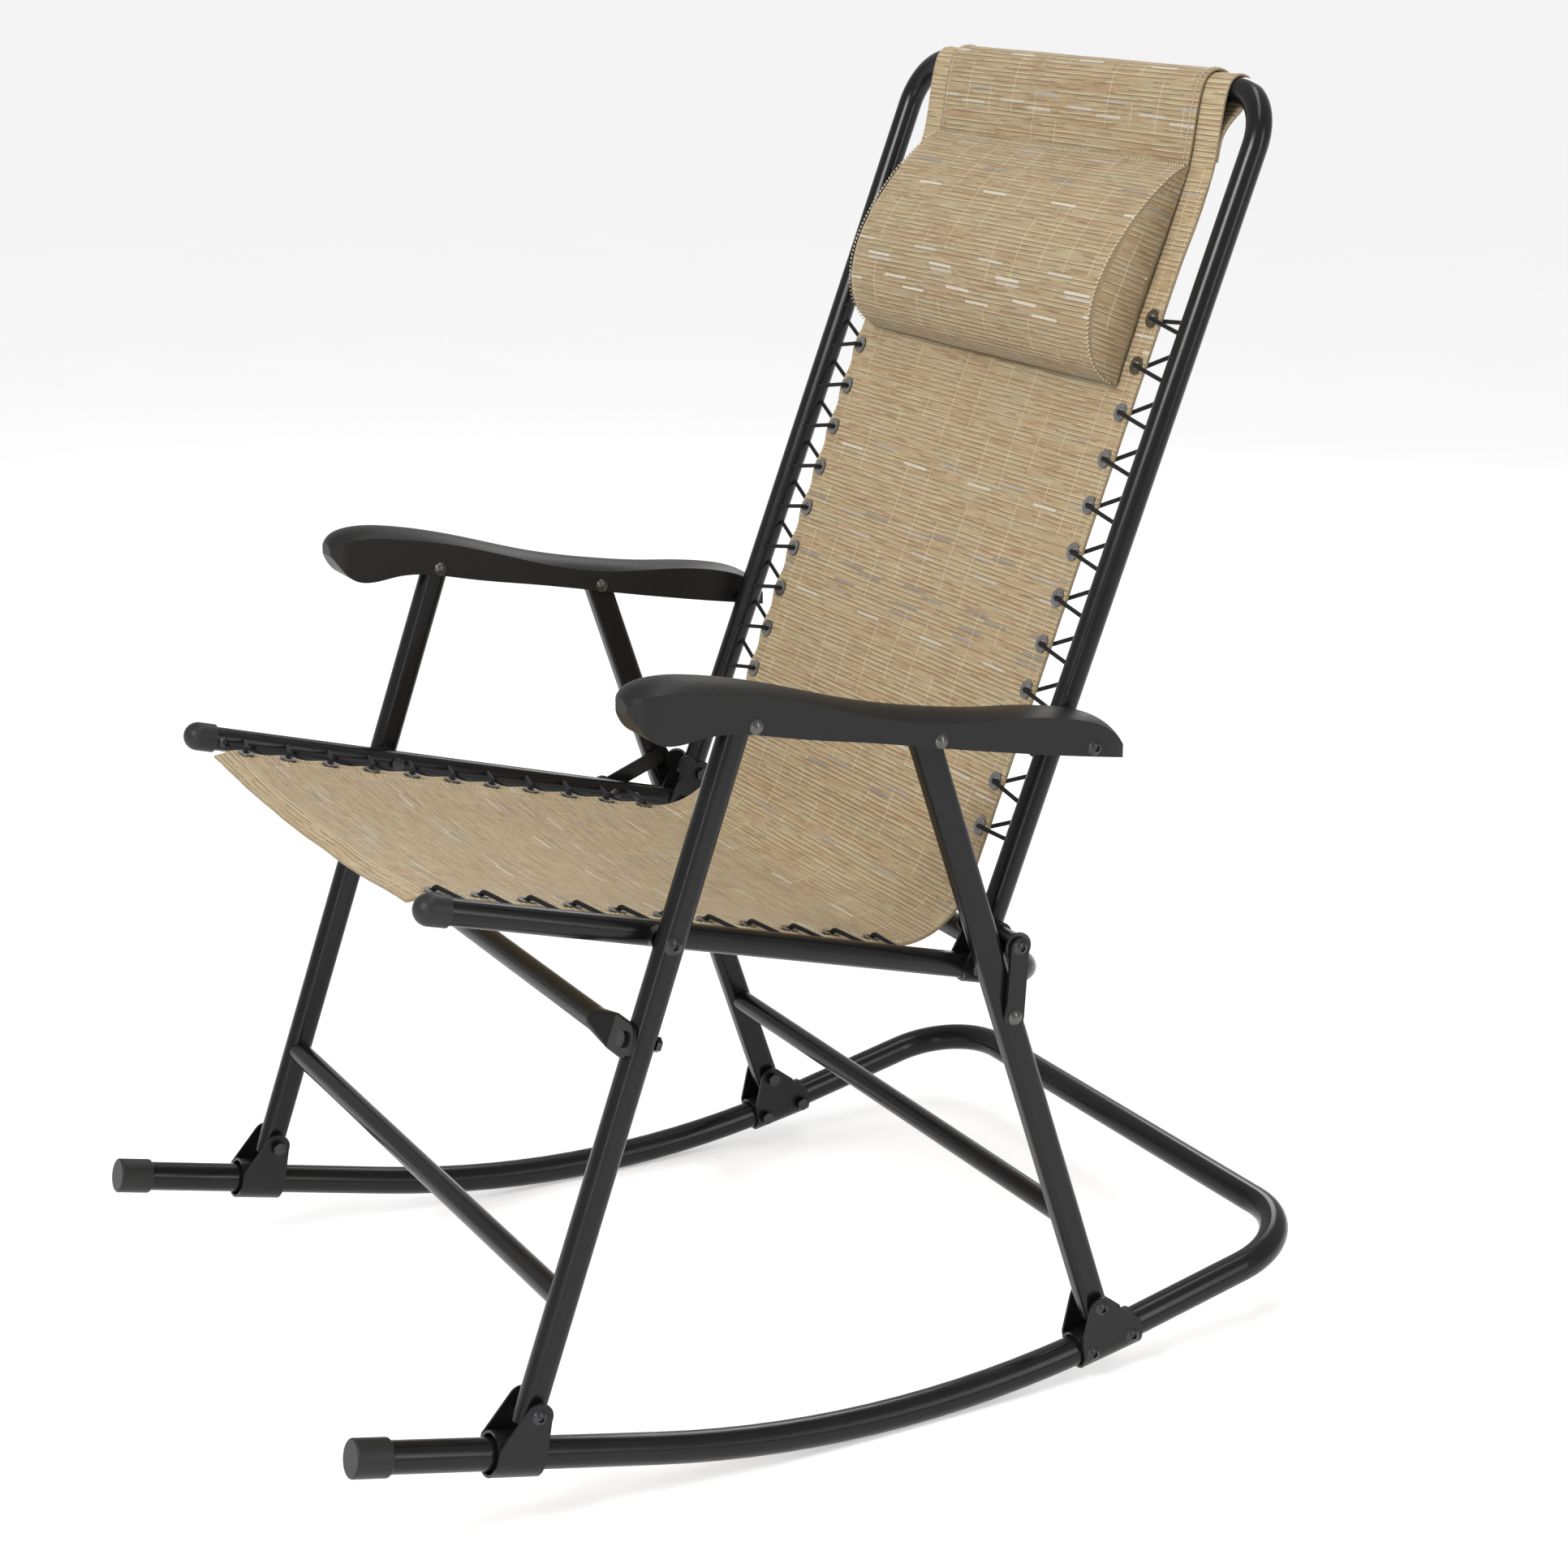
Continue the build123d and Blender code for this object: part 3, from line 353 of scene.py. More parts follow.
def moulded(name, colour, rough, grain, strength):
    """Plastic with a fine leather grain, and a painted highlight that makes raised grain a little
    paler.
    """
    g = Graph(name, Specular_IOR_Level=0.24)
    where = g.place()
    pebble = g.cells(where, grain)
    cloud = g.noise(where, 18.0, 3.0)
    fine = g.noise(where, grain * 1.7, 3.0, 0.6)
    ground = g.mix(cloud, colour, tuple(1.35 * c for c in colour))
    # painted highlight: where the fine noise raises the grain, the colour turns up to twice as pale
    g.colour(g.mix(g.math("MULTIPLY", fine, 0.25), ground, tuple(2.0 * c for c in colour)))
    g.rough(fine, rough - 0.07, rough + 0.10)
    g.bump(g.math("ADD", pebble, g.math("MULTIPLY", fine, 0.5)), strength, 0.0004)
    return g.material


def braided(name):
    """Black elastic cord with a braided cover."""
    g = Graph(name, Sheen_Weight=0.04, Specular_IOR_Level=0.2)
    x, y, z = g.split(g.place())
    plait = 1.6 * MM
    waves = 2 * math.pi / plait
    one = g.math("SINE", g.math("MULTIPLY", g.math("ADD", x, g.math("ADD", y, z)), waves))
    cross = g.math("SUBTRACT", x, g.math("SUBTRACT", y, z))
    two = g.math("SINE", g.math("MULTIPLY", cross, waves))
    height = g.math("MULTIPLY", one, two)
    # painted highlight: the braid's raised crossings are painted paler than the sunk ones
    g.colour(g.mix(g.math("MULTIPLY", height, 0.5), (0.004, 0.004, 0.004), (0.012, 0.012, 0.013)))
    g.rough(g.noise(g.place(), 700.0), 0.6, 0.8)
    g.bump(height, 0.5, 0.0003)
    return g.material


def thread_material():
    g = Graph("seam_thread", Sheen_Weight=0.2, Roughness=0.65)
    where = g.place()
    twist = g.noise(where, 1400.0, 2.0)
    g.colour(g.mix(twist, (0.40, 0.31, 0.19), (0.72, 0.62, 0.44)))
    g.bump(twist, 0.3, 0.0002)
    return g.material


SLING = woven("sling_weave", (0.175, 0.118, 0.068), (0.375, 0.278, 0.155),
              (0.52, 0.42, 0.255))
# the headrest's copy of the sling weave, used on the pillow and the flap: darker colours, and
# painted shade over all of it
PILLOW = woven("headrest_weave_painted_shade", (0.155, 0.104, 0.060), (0.32, 0.238, 0.130),
               (0.45, 0.362, 0.215), 0.93)
THREAD = thread_material()
STEEL = coated_steel("black_powder_coat", (0.004, 0.004, 0.0045), 0.21)
BRACKET = coated_steel("black_bracket_coat", (0.005, 0.005, 0.005), 0.30)
BOLT = bare_metal("black_oxide_bolt", (0.07, 0.07, 0.075), 0.34)
RIVET = bare_metal("plated_rivet", (0.13, 0.128, 0.125), 0.26)
EYELET = bare_metal("gunmetal_eyelet", (0.36, 0.355, 0.35), 0.28)
ARM = moulded("grained_grey_plastic", (0.0075, 0.0073, 0.0071), 0.40, 900.0, 0.30)
CAP = moulded("black_cap_plastic", (0.014, 0.014, 0.014), 0.42, 1300.0, 0.12)
CORD = braided("braided_elastic")

SHINY = ("armrest_rivets", "link_rivets", "latch_rivet")
PLASTIC = ("armrest_left", "armrest_right")
RUBBER = ("runner_cap_left", "runner_cap_right", "seat_cap_left", "seat_cap_right",
          "latch_knob")
CORDS = ("seat_lace_left", "seat_lace_right", "back_lace_left", "back_lace_right")
RINGS = ("seat_eyelets", "back_eyelets")
FASTENER_WORDS = ("bolt", "rivet", "screw", "washer", "spacer", "stop", "stud")
SHEET_WORDS = ("bracket", "link_bar", "latch_bar")


def node_finish(name):
    """Material of a CAD node, by its name."""
    if name in SHINY:
        return RIVET
    if name in PLASTIC:
        return ARM
    if name in RUBBER:
        return CAP
    if name in CORDS:
        return CORD
    if name in RINGS:
        return EYELET
    if any(word in name for word in FASTENER_WORDS):
        return BOLT
    if any(word in name for word in SHEET_WORDS):
        return BRACKET
    return STEEL


for node_name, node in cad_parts.items():
    for node_slot in node.material_slots:
        node_slot.material = node_finish(node_name)


# ---------------------------------------------------------------- mesh helpers
def new_piece(name, points, faces, material, cloth=None):
    """A smooth-shaded mesh; cloth holds each point's place on the flat fabric."""
    mesh = bpy.data.meshes.new(name)
    mesh.from_pydata([tuple(p) for p in points], [], faces)
    mesh.materials.append(material)
    if cloth is not None:
        layer = mesh.attributes.new("cloth", "FLOAT_VECTOR", "POINT")
        layer.data.foreach_set("vector", np.asarray(cloth, np.float32).ravel())
    mesh.update()
    for polygon in mesh.polygons:
        polygon.use_smooth = True
    piece = bpy.data.objects.new(name, mesh)
    bpy.context.collection.objects.link(piece)
    return piece


def filled(keys, step):
    """Sorted key values, with even values between them no further apart than step."""
    keys = sorted(keys)
    values = [keys[0]]
    for a, b in zip(keys, keys[1:]):
        count = max(1, math.ceil((b - a) / step - 1e-6))
        values += [a + (b - a) * (i + 1) / count for i in range(count)]
    return values


def thick_sheet(middle, normals, thickness, quads):
    """Front and back skins of a sheet, closed along every open edge."""
    total = len(middle)
    half = normals * (thickness / 2)[:, None]
    points = np.vstack((middle + half, middle - half))
    faces = [tuple(q) for q in quads] + [tuple(total + i for i in reversed(q)) for q in quads]
    edges = {}
    for quad in quads:
        for a, b in zip(quad, (*quad[1:], quad[0])):
            edges[(a, b)] = edges.get((a, b), 0) + 1
    for a, b in list(edges):
        if (b, a) not in edges:
            faces.append((b, a, total + a, total + b))
    return points, faces


def grid_quads(rows, columns, skip=()):
    quads = []
    for r in range(rows - 1):
        for c in range(columns - 1):
            if (r, c) not in skip:
                a = r * columns + c
                quads.append((a, a + 1, a + columns + 1, a + columns))
    return quads


STITCH_SIDES = 6
STITCH_RINGS = ((0.0, 0.35), (0.25, 0.95), (0.75, 0.95), (1.0, 0.35))   # share of length, of radius
SUNK = 0.45                     # how deep a stitch sits in the cloth, in radii


def value_at(place, run, rows):
    """A vector between the rows given at the lengths in run."""
    return np.array([np.interp(place, run, rows[:, k]) for k in range(3)])


def capsule_row(points, ups, length, gap, radius, slant=0.0):
    """Points and faces of short stitches laid end to end along a line."""
    points = np.asarray(points)
    ups = np.asarray(ups)
    steps = np.linalg.norm(np.diff(points, axis=0), axis=1)
    run = np.concatenate(((0,), np.cumsum(steps)))
    out_points, out_faces = [], []
    place = gap
    while place + length < run[-1]:
        ends = [value_at(end, run, points) for end in (place, place + length)]
        up = value_at(place + length / 2, run, ups)
        up /= np.linalg.norm(up)
        along = ends[1] - ends[0]
        along /= np.linalg.norm(along)
        side = np.cross(along, up)
        shift = side * slant * length
        first = len(out_points)
        for t, swell in STITCH_RINGS:
            centre = ends[0] * (1 - t) + ends[1] * t
            centre = centre + shift * (t - 0.5) + up * radius * (swell - SUNK)
            for k in range(STITCH_SIDES):
                angle = k * 2 * math.pi / STITCH_SIDES
                spoke = side * math.cos(angle) + up * math.sin(angle)
                out_points.append(centre + spoke * radius * swell)
        for ring in range(len(STITCH_RINGS) - 1):
            for k in range(STITCH_SIDES):
                a = first + ring * STITCH_SIDES + k
                b = first + ring * STITCH_SIDES + (k + 1) % STITCH_SIDES
                out_faces.append((a, b, b + STITCH_SIDES, a + STITCH_SIDES))
        last = first + STITCH_SIDES * (len(STITCH_RINGS) - 1)
        out_faces.append(tuple(first + k for k in reversed(range(STITCH_SIDES))))
        out_faces.append(tuple(last + k for k in range(STITCH_SIDES)))
        place += length + gap
    return out_points, out_faces


def stitch_piece(name, lines, length=3.2 * MM, gap=1.1 * MM, radius=0.42 * MM, slant=0.0):
    """One mesh of all the stitches along several lines, given as points and outward directions."""
    points, faces = [], []
    for line, ups in lines:
        more_points, more_faces = capsule_row(line, ups, length, gap, radius, slant)
        faces += [tuple(i + len(points) for i in face) for face in more_faces]
        points += more_points
    return new_piece(name, points, faces, THREAD)


# ---------------------------------------------------------------- sling's side view
def distances_to_corner():
    """How far along the rail, and up the upright, their axes cross when seen from the side."""
    matrix = np.array((RAIL_DIR, -BACK_DIR)).T
    share = np.linalg.solve(matrix, BACK_FOOT - RAIL_FRONT)
    return share[0], share[1]


RAIL_TO_CORNER, FOOT_TO_CORNER = distances_to_corner()
TURN = math.pi / 2 - BACK_LEAN - RAIL_SLOPE
TANGENT = BEND_R * math.tan(TURN / 2)
SEAT_END = RAIL_TO_CORNER - TANGENT                # length of sling along the rails
BEND_END = SEAT_END + BEND_R * TURN
BACK_START = FOOT_TO_CORNER + TANGENT              # where the bend ends, up the upright
SLEEVE_R = TUBE_R + SLEEVE_GAP
SLEEVE_FROM = BACK_TOP - SLEEVE_RISE
PANEL_END = BEND_END + BACK_TOP - BACK_START
WRAP_END = PANEL_END + SLEEVE_R * math.pi
SLING_END = WRAP_END + TAIL


def sling_line(s):
    """Point (y, z) and lifting normal of the sling at length s from its front edge."""
    if s < SEAT_END:
        return RAIL_FRONT + RAIL_DIR * s, left_of(RAIL_DIR)
    if s < BEND_END:
        angle = RAIL_SLOPE + (s - SEAT_END) / BEND_R
        centre = RAIL_FRONT + RAIL_DIR * SEAT_END + left_of(RAIL_DIR) * BEND_R
        normal = np.array((-math.sin(angle), math.cos(angle)))
        return centre - normal * BEND_R, normal
    if s < PANEL_END:
        up = BACK_START + s - BEND_END
        lift = SLEEVE_R * float(smooth((up - SLEEVE_FROM) / (BACK_TOP - SLEEVE_FROM)))
        return BACK_FOOT + BACK_DIR * up + left_of(BACK_DIR) * lift, left_of(BACK_DIR)
    top = BACK_FOOT + BACK_DIR * BACK_TOP
    if s < WRAP_END:
        angle = (s - PANEL_END) / SLEEVE_R
        normal = left_of(BACK_DIR) * math.cos(angle) + BACK_DIR * math.sin(angle)
        return top + normal * SLEEVE_R, normal
    drop = s - WRAP_END
    close = float(smooth(drop / CLOSE_BY))
    ahead = SLEEVE_R * float(smooth((BACK_TOP - drop - SLEEVE_FROM) / (BACK_TOP - SLEEVE_FROM)))
    behind_panel = 2.0 * MM
    height = close * (ahead - behind_panel) - (1 - close) * SLEEVE_R
    return top + left_of(BACK_DIR) * height - BACK_DIR * drop, -left_of(BACK_DIR)


def eyelet_lengths():
    """Where the eyelets lie along the sling, on the seat and on the back."""
    seat = [SEAT_FIRST + PITCH * k for k in range(SEAT_COUNT)]
    back = [BEND_END + BACK_FIRST + PITCH * k - BACK_START for k in range(BACK_COUNT)]
    return seat, back


SEAT_HOLES, BACK_HOLES = eyelet_lengths()
HOLES = SEAT_HOLES + BACK_HOLES


def nearest_hole(s):
    return min(HOLES, key=lambda h: abs(h - s))


def edge_half_width(s):
    """Half width of the sling, bulging a little at each eyelet and flaring past the last ones."""
    bulge = 1.1 * MM * math.cos(2 * math.pi * min(abs(s - nearest_hole(s)) / PITCH, 0.5))
    past = s - BACK_HOLES[-1] - 40 * MM
    flare = 3.0 * MM * float(smooth(past / (60 * MM)))
    return HEM_X + bulge + flare


def sling_sag(u, s):
    """How far the sling lies off its flat line, with faint pulls at the eyelets."""
    share = u / HEM_X
    across = max(0.0, 1 - share * share)
    below_bar = s - PANEL_END
    seat = float(smooth((s + 0.02) / 0.2) * (1 - smooth((s - 0.30) / 0.16)))
    back = float(smooth((s - BEND_END) / 0.2) * (1 - smooth((below_bar + 0.26) / 0.2)))
    loose = 1 - float(smooth((below_bar + 0.13) / 0.08))      # 0 where the sleeve holds it flat
    sag = -across * MM * (PANEL_SAG + SEAT_SAG * seat + BACK_SAG * back)
    near = math.exp(-max(0.0, HEM_X - abs(u) - 6 * MM) / (20 * MM))
    offset = min(abs(s - nearest_hole(s)) / PITCH, 0.5)
    pull = 0.7 * MM * (math.cos(2 * math.pi * offset) - 1) * near
    ripple = noise.noise(Vector((u * 11, s * 6, 3.1))) * 1.6 * MM
    ripple += noise.noise(Vector((u * 30, s * 9, 9.4))) * 0.5 * MM
    quiet = float(smooth((HEM_X - abs(u)) / (40 * MM)))       # no ripple along the laced edges
    lip = -FRONT_LIP * (1 - float(smooth(s / (16 * MM))))
    droop = -across * FRONT_DROOP * (1 - float(smooth(s / 0.10)))
    return loose * (sag + pull + ripple * quiet) + lip + droop


def sling_thickness(u, s):
    """One layer of cloth, two along the hems, with a groove under each seam."""
    side = edge_half_width(s) - abs(u)
    if s > PANEL_END - 80 * MM:
        return SHEET_T + (FOLD_T if side < SIDE_FOLD else 0.0)
    groove_wide = 1.1 * MM
    hem = 1 - float(smooth((side - HEM_WIDE + HEM_STEP) / (2 * HEM_STEP)))
    front = 1 - float(smooth((s - FRONT_HEM + HEM_STEP) / (2 * HEM_STEP)))
    groove = max(math.exp(-((side - STITCH_IN) / groove_wide) ** 2),
                 math.exp(-((s - FRONT_HEM + FRONT_SEAMS[0]) / groove_wide) ** 2))
    doubled = max(hem, front)
    lip = 0.6 * MM * math.exp(-((side - 1.5 * MM) / (1.6 * MM)) ** 2)
    return SHEET_T + (HEM_T - SHEET_T) * doubled * (1 - 0.45 * groove) + lip


def sling_point(u, s, lift=0.0):
    """Point and normal of the sling at u across and s along it, lift above its middle."""
    point, normal = sling_line(s)
    point = point + normal * (sling_sag(u, s) + lift)
    return np.array((u, point[0], point[1])), np.array((0.0, normal[0], normal[1]))


def sling_rows():
    """Lengths of the sling's rows of points, with three rows on every eyelet."""
    lengths = {0.0, 1.5 * MM, FRONT_HEM - FRONT_SEAMS[0], FRONT_HEM - HEM_STEP,
               FRONT_HEM + HEM_STEP, SEAT_END, BEND_END, PANEL_END, WRAP_END, SLING_END}
    room = HOLE + 0.5 * MM
    lengths -= {s for s in lengths for hole in HOLES if 0 < abs(s - hole) < room}
    for hole in HOLES:
        lengths |= {hole - HOLE, hole, hole + HOLE}
    return filled(lengths, 6.0 * MM)


def sling_columns():
    """Places of the points across the sling, with three columns on each line of eyelets."""
    groove = 1.6 * MM
    half = {0.0, EYELET_X - HOLE, EYELET_X, EYELET_X + HOLE, HEM_X - 1.2 * MM, HEM_X,
            HEM_X - HEM_WIDE - HEM_STEP, HEM_X - HEM_WIDE + HEM_STEP,
            HEM_X - STITCH_IN, HEM_X - STITCH_IN - groove, HEM_X - STITCH_IN + groove}
    half = filled(half, 8.0 * MM)
    return sorted({-x for x in half} | set(half))


def punched_quads(rows, columns, middle, cloth):
    """Quads of the sling without its holes, whose corner points move in to round them."""
    width = len(columns)
    row_of = {round(s / MM, 3): i for i, s in enumerate(rows)}
    column_of = {round(x / MM, 3): i for i, x in enumerate(columns)}
    skip = set()
    for hole in HOLES:
        r = row_of[round(hole / MM, 3)]
        for side in (1, -1):
            c = column_of[round(side * EYELET_X / MM, 3)]
            skip |= {(r - 1, c - 1), (r - 1, c), (r, c - 1), (r, c)}
            centre = r * width + c
            for dr in (-1, 1):
                for dc in (-1, 1):
                    corner = (r + dr) * width + c + dc
                    for values in (middle, cloth):
                        values[corner] += (values[centre] - values[corner]) * ROUND_OFF
    return grid_quads(len(rows), width, skip)


def make_sling():
    """Seat, back and sleeve of the sling as one thick sheet with a hole at every eyelet."""
    rows = sling_rows()
    columns = sling_columns()
    held = EYELET_X + 5 * MM        # inside this the edge's bulge doesn't move the points
    middle, normals, thickness, cloth = [], [], [], []
    for s in rows:
        stretch = edge_half_width(s) / HEM_X
        for x in columns:
            outer = float(smooth((abs(x) - held) / (HEM_X - held)))
            if s > BACK_HOLES[-1] + 20 * MM:
                outer = abs(x) / HEM_X
            u = x * (1 + (stretch - 1) * outer)
            point, normal = sling_point(u, s)
            middle.append(point)
            normals.append(normal)
            thickness.append(sling_thickness(u, s))
            cloth.append((u, s, 0.0))
    middle = np.array(middle)
    cloth = np.array(cloth)
    quads = punched_quads(rows, columns, middle, cloth)
    points, faces = thick_sheet(middle, np.array(normals), np.array(thickness), quads)
    both = np.vstack((cloth, cloth + (0.0, 2.0, 0.0)))
    used = sorted({i for face in faces for i in face})
    remap = {old: new for new, old in enumerate(used)}
    faces = [tuple(remap[i] for i in face) for face in faces]
    return new_piece("sling", points[used], faces, SLING, both[used])


def seam_line(path, face):
    """Points and outward directions on one face of the sling (1 or -1), for (u, s) pairs."""
    line, ups = [], []
    for u, s in path:
        lift = face * sling_thickness(u, s) / 2
        point, normal = sling_point(u, s, lift)
        line.append(point)
        ups.append(normal * face)
    return line, ups


def sling_seams():
    """Seams of the side hems and of the front hem, on both faces."""
    lines = []
    along = np.arange(FRONT_HEM, PANEL_END - SEAM_STOP, 4 * MM)
    across = np.arange(-HEM_X + 3 * MM, HEM_X - 3 * MM, 5 * MM)
    for face in (1, -1):
        for side in (1, -1):
            for inset in (STITCH_IN, EDGE_SEAM):
                lines.append(seam_line([(side * (HEM_X - inset), s) for s in along], face))
        for inset in FRONT_SEAMS:
            lines.append(seam_line([(u, FRONT_HEM - inset) for u in across], face))
    return stitch_piece("sling_stitching", lines)


def sleeve_seams():
    """Two rows of stitches through the sleeve's tails, seen from the front and from behind."""
    lines = []
    across = np.arange(-HEM_X + 2 * MM, HEM_X - 2 * MM, 5 * MM)
    for drop in SLEEVE_SEAMS:
        lines.append(seam_line([(u, WRAP_END + drop) for u in across], 1))
        lines.append(seam_line([(u, PANEL_END - drop) for u in across], 1))
    return stitch_piece("sleeve_stitching", lines)


sling = make_sling()
seams = sling_seams()
top_seams = sleeve_seams()
for piece in (sling, seams):
    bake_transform(piece)
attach(top_seams, "back")
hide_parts("seat_sling", "back_sling")


# ---------------------------------------------------------------- headrest
def pillow_profile(t):
    """Place up the upright and height, from the top seam (0) to the lower edge (1)."""
    crest = 0.68
    roll = 0.60
    up = PILLOW_HIGH + (PILLOW_LOW - PILLOW_HIGH) * t
    rise = math.sin(math.pi / 2 * min(1.0, t / crest)) ** 0.75
    fall = math.sqrt(max(0.0, 1 - max(0.0, (t - roll) / (1 - roll)) ** 2.3))
    return up, PILLOW_LIP + PILLOW_DEEP * float(rise) * fall


def over_back(u, up, height):
    """Point at a height over the uprights' plane."""
    point = BACK_FOOT + BACK_DIR * up + left_of(BACK_DIR) * height
    return np.array((u, point[0], point[1]))


def sling_height(u, up):
    """Height of the sling's face over the uprights' plane."""
    s = BEND_END + up - BACK_START
    point, normal = sling_line(s)
    return float((point - BACK_FOOT) @ left_of(BACK_DIR)) + sling_sag(u, s) + SHEET_T / 2


def pillow_mesh():
    """Front, back and two end panels of the headrest, sewn together along shared edges."""
    steps, wide, deep = 40, 66, 10
    ts = np.linspace(0, 1, steps)
    us = np.linspace(-PILLOW_HALF, PILLOW_HALF, wide)
    ds = np.linspace(0, 1, deep)
    points, cloth, seam, faces = [], [], [], []
    index = {}

    def vertex(point, coordinates, sewn):
        key = tuple(np.round(point / (0.05 * MM)).astype(int))
        if key not in index:
            index[key] = len(points)
            points.append(point)
            cloth.append(coordinates)
            seam.append(sewn)
        elif sewn:
            seam[index[key]] = True
        return index[key]

    def front(u, t):
        up, height = pillow_profile(t)
        return over_back(u, up, max(height, sling_height(u, up) + PILLOW_AIR))

    def rear(u, t):
        up, height = pillow_profile(t)
        low = sling_height(u, up) + 1.0 * MM
        return over_back(u, up, min(low, height - 0.5 * MM))

    for skin, flip in ((front, False), (rear, True)):
        length = 0.0
        previous = skin(0.0, 0.0)
        rows = []
        for t in ts:
            current = skin(0.0, t)
            length += float(np.linalg.norm(current - previous))
            previous = current
            row = []
            for u in us:
                sewn = t in (0.0, 1.0) or abs(u) > PILLOW_HALF - MM or flip
                row.append(vertex(skin(u, t), (u, 3.0 - length, 0.0), sewn))
            rows.append(row)
        for a, b in zip(rows, rows[1:]):
            for c in range(wide - 1):
                face = (a[c], b[c], b[c + 1], a[c + 1])
                faces.append(tuple(reversed(face)) if flip else face)
    for side in (1, -1):
        u = side * PILLOW_HALF
        rows = []
        for t in ts:
            a, b = front(u, t), rear(u, t)
            up = pillow_profile(t)[0]
            row = []
            for d in ds:
                place = (u + d * 0.05, 5.0 + up, 0.0)
                row.append(vertex(a * (1 - d) + b * d, place, d in (0.0, 1.0)))
            rows.append(row)
        for a, b in zip(rows, rows[1:]):
            for c in range(deep - 1):
                face = [a[c], a[c + 1], b[c + 1], b[c]]
                face = list(dict.fromkeys(face))
                if len(face) > 2:
                    faces.append(tuple(face) if side < 0 else tuple(reversed(face)))
    return points, cloth, seam, faces


def inflate(piece, pinned, cap):
    """Cloth simulation with inner pressure; no point moves further than cap."""
    rest = np.array([v.co for v in piece.data.vertices])
    group = piece.vertex_groups.new(name="sewn")
    group.add([i for i, held in enumerate(pinned) if held], 1.0, "REPLACE")
    cloth = piece.modifiers.new("Cloth", "CLOTH")
    settings = cloth.settings
    settings.quality = 5
    settings.mass = 0.25
    settings.tension_stiffness = 12
    settings.compression_stiffness = 12
    settings.shear_stiffness = 6
    settings.bending_stiffness = 0.4
    settings.use_pressure = True
    settings.uniform_pressure_force = 4.0
    settings.effector_weights.gravity = 0.0
    settings.vertex_group_mass = "sewn"
    scene = bpy.context.scene
    last_frame = 20
    for number in range(1, last_frame + 1):
        scene.frame_set(number)
    graph = bpy.context.evaluated_depsgraph_get()
    solved = np.array([v.co for v in piece.evaluated_get(graph).data.vertices])
    piece.modifiers.remove(cloth)
    piece.vertex_groups.remove(group)
    scene.frame_set(1)
    move = solved - rest
    size = np.linalg.norm(move, axis=1, keepdims=True)
    move *= np.minimum(1.0, cap / np.maximum(size, 1e-9))
    piece.data.vertices.foreach_set("co", (rest + move).ravel())
    piece.data.update()


def make_pillow():
    """Headrest's cushion, inflated between its seams."""
    points, cloth, seam, faces = pillow_mesh()
    pillow = new_piece("headrest_pillow", points, faces, PILLOW, cloth)
    inflate(pillow, seam, PUFF)
    backward = -np.array((0.0, *left_of(BACK_DIR)))
    coordinates = np.array([v.co for v in pillow.data.vertices])
    for i, co in enumerate(coordinates):       # soft dents and drag lines along the seams
        if not seam[i]:
            dent = noise.noise(Vector((co[0] * 14, co[1] * 22, co[2] * 22))) * 1.6 * MM
            dent += noise.noise(Vector((co[0] * 40, co[1] * 30, co[2] * 30))) * 0.6 * MM
            coordinates[i] = co + backward * dent
    pillow.data.vertices.foreach_set("co", coordinates.ravel())
    pillow.data.update()
    smoothing = pillow.modifiers.new("Smooth", "SUBSURF")
    smoothing.levels = 1
    smoothing.render_levels = 1
    return pillow


def pillow_seams():
    """Rope-like overlocked seams down both ends and along the top of the headrest."""
    lines = []
    for side in (1, -1):
        line, ups = [], []
        for t in np.linspace(0.0, 1.0, 120):
            up, height = pillow_profile(t)
            line.append(over_back(side * PILLOW_HALF, up, height))
            ups.append(np.array((side * 0.7, *(0.7 * left_of(BACK_DIR)))))
        lines.append((line, ups))
    line, ups = [], []
    for u in np.linspace(-PILLOW_HALF, PILLOW_HALF, 100):
        up, height = pillow_profile(0.0)
        line.append(over_back(u, up, max(height, sling_height(u, up) + PILLOW_AIR)))
        ups.append(np.array((0.0, *left_of(BACK_DIR))))
    lines.append((line, ups))
    return stitch_piece("headrest_seams", lines,
                        length=2.2 * MM, gap=1.5 * MM, radius=0.75 * MM, slant=0.6)


FLAP_R = SLEEVE_R + FLAP_GAP
FLAP_FRONT = BACK_TOP - PILLOW_HIGH
FLAP_WRAP = FLAP_R * math.pi
FLAP_LENGTH = FLAP_FRONT + FLAP_WRAP + FLAP_TAIL


def flap_point(u, s):
    """Point and outward direction of the flap at u across and s along it from the top seam."""
    ahead = left_of(BACK_DIR)
    if s < FLAP_FRONT:
        up = PILLOW_HIGH + s
        clear = sling_height(u, up) + FLAP_AIR
        return over_back(u, up, max(clear, 0.0)), np.array((0.0, *ahead))
    if s < FLAP_FRONT + FLAP_WRAP:
        angle = (s - FLAP_FRONT) / FLAP_R
        normal = ahead * math.cos(angle) + BACK_DIR * math.sin(angle)
        point = BACK_FOOT + BACK_DIR * BACK_TOP + normal * FLAP_R
        return np.array((u, *point)), np.array((0.0, *normal))
    drop = s - FLAP_FRONT - FLAP_WRAP
    below, normal = sling_line(WRAP_END + min(drop, TAIL))
    point = below + normal * FLAP_GAP - BACK_DIR * max(0.0, drop - TAIL)
    return np.array((u, *point)), np.array((0.0, *normal))


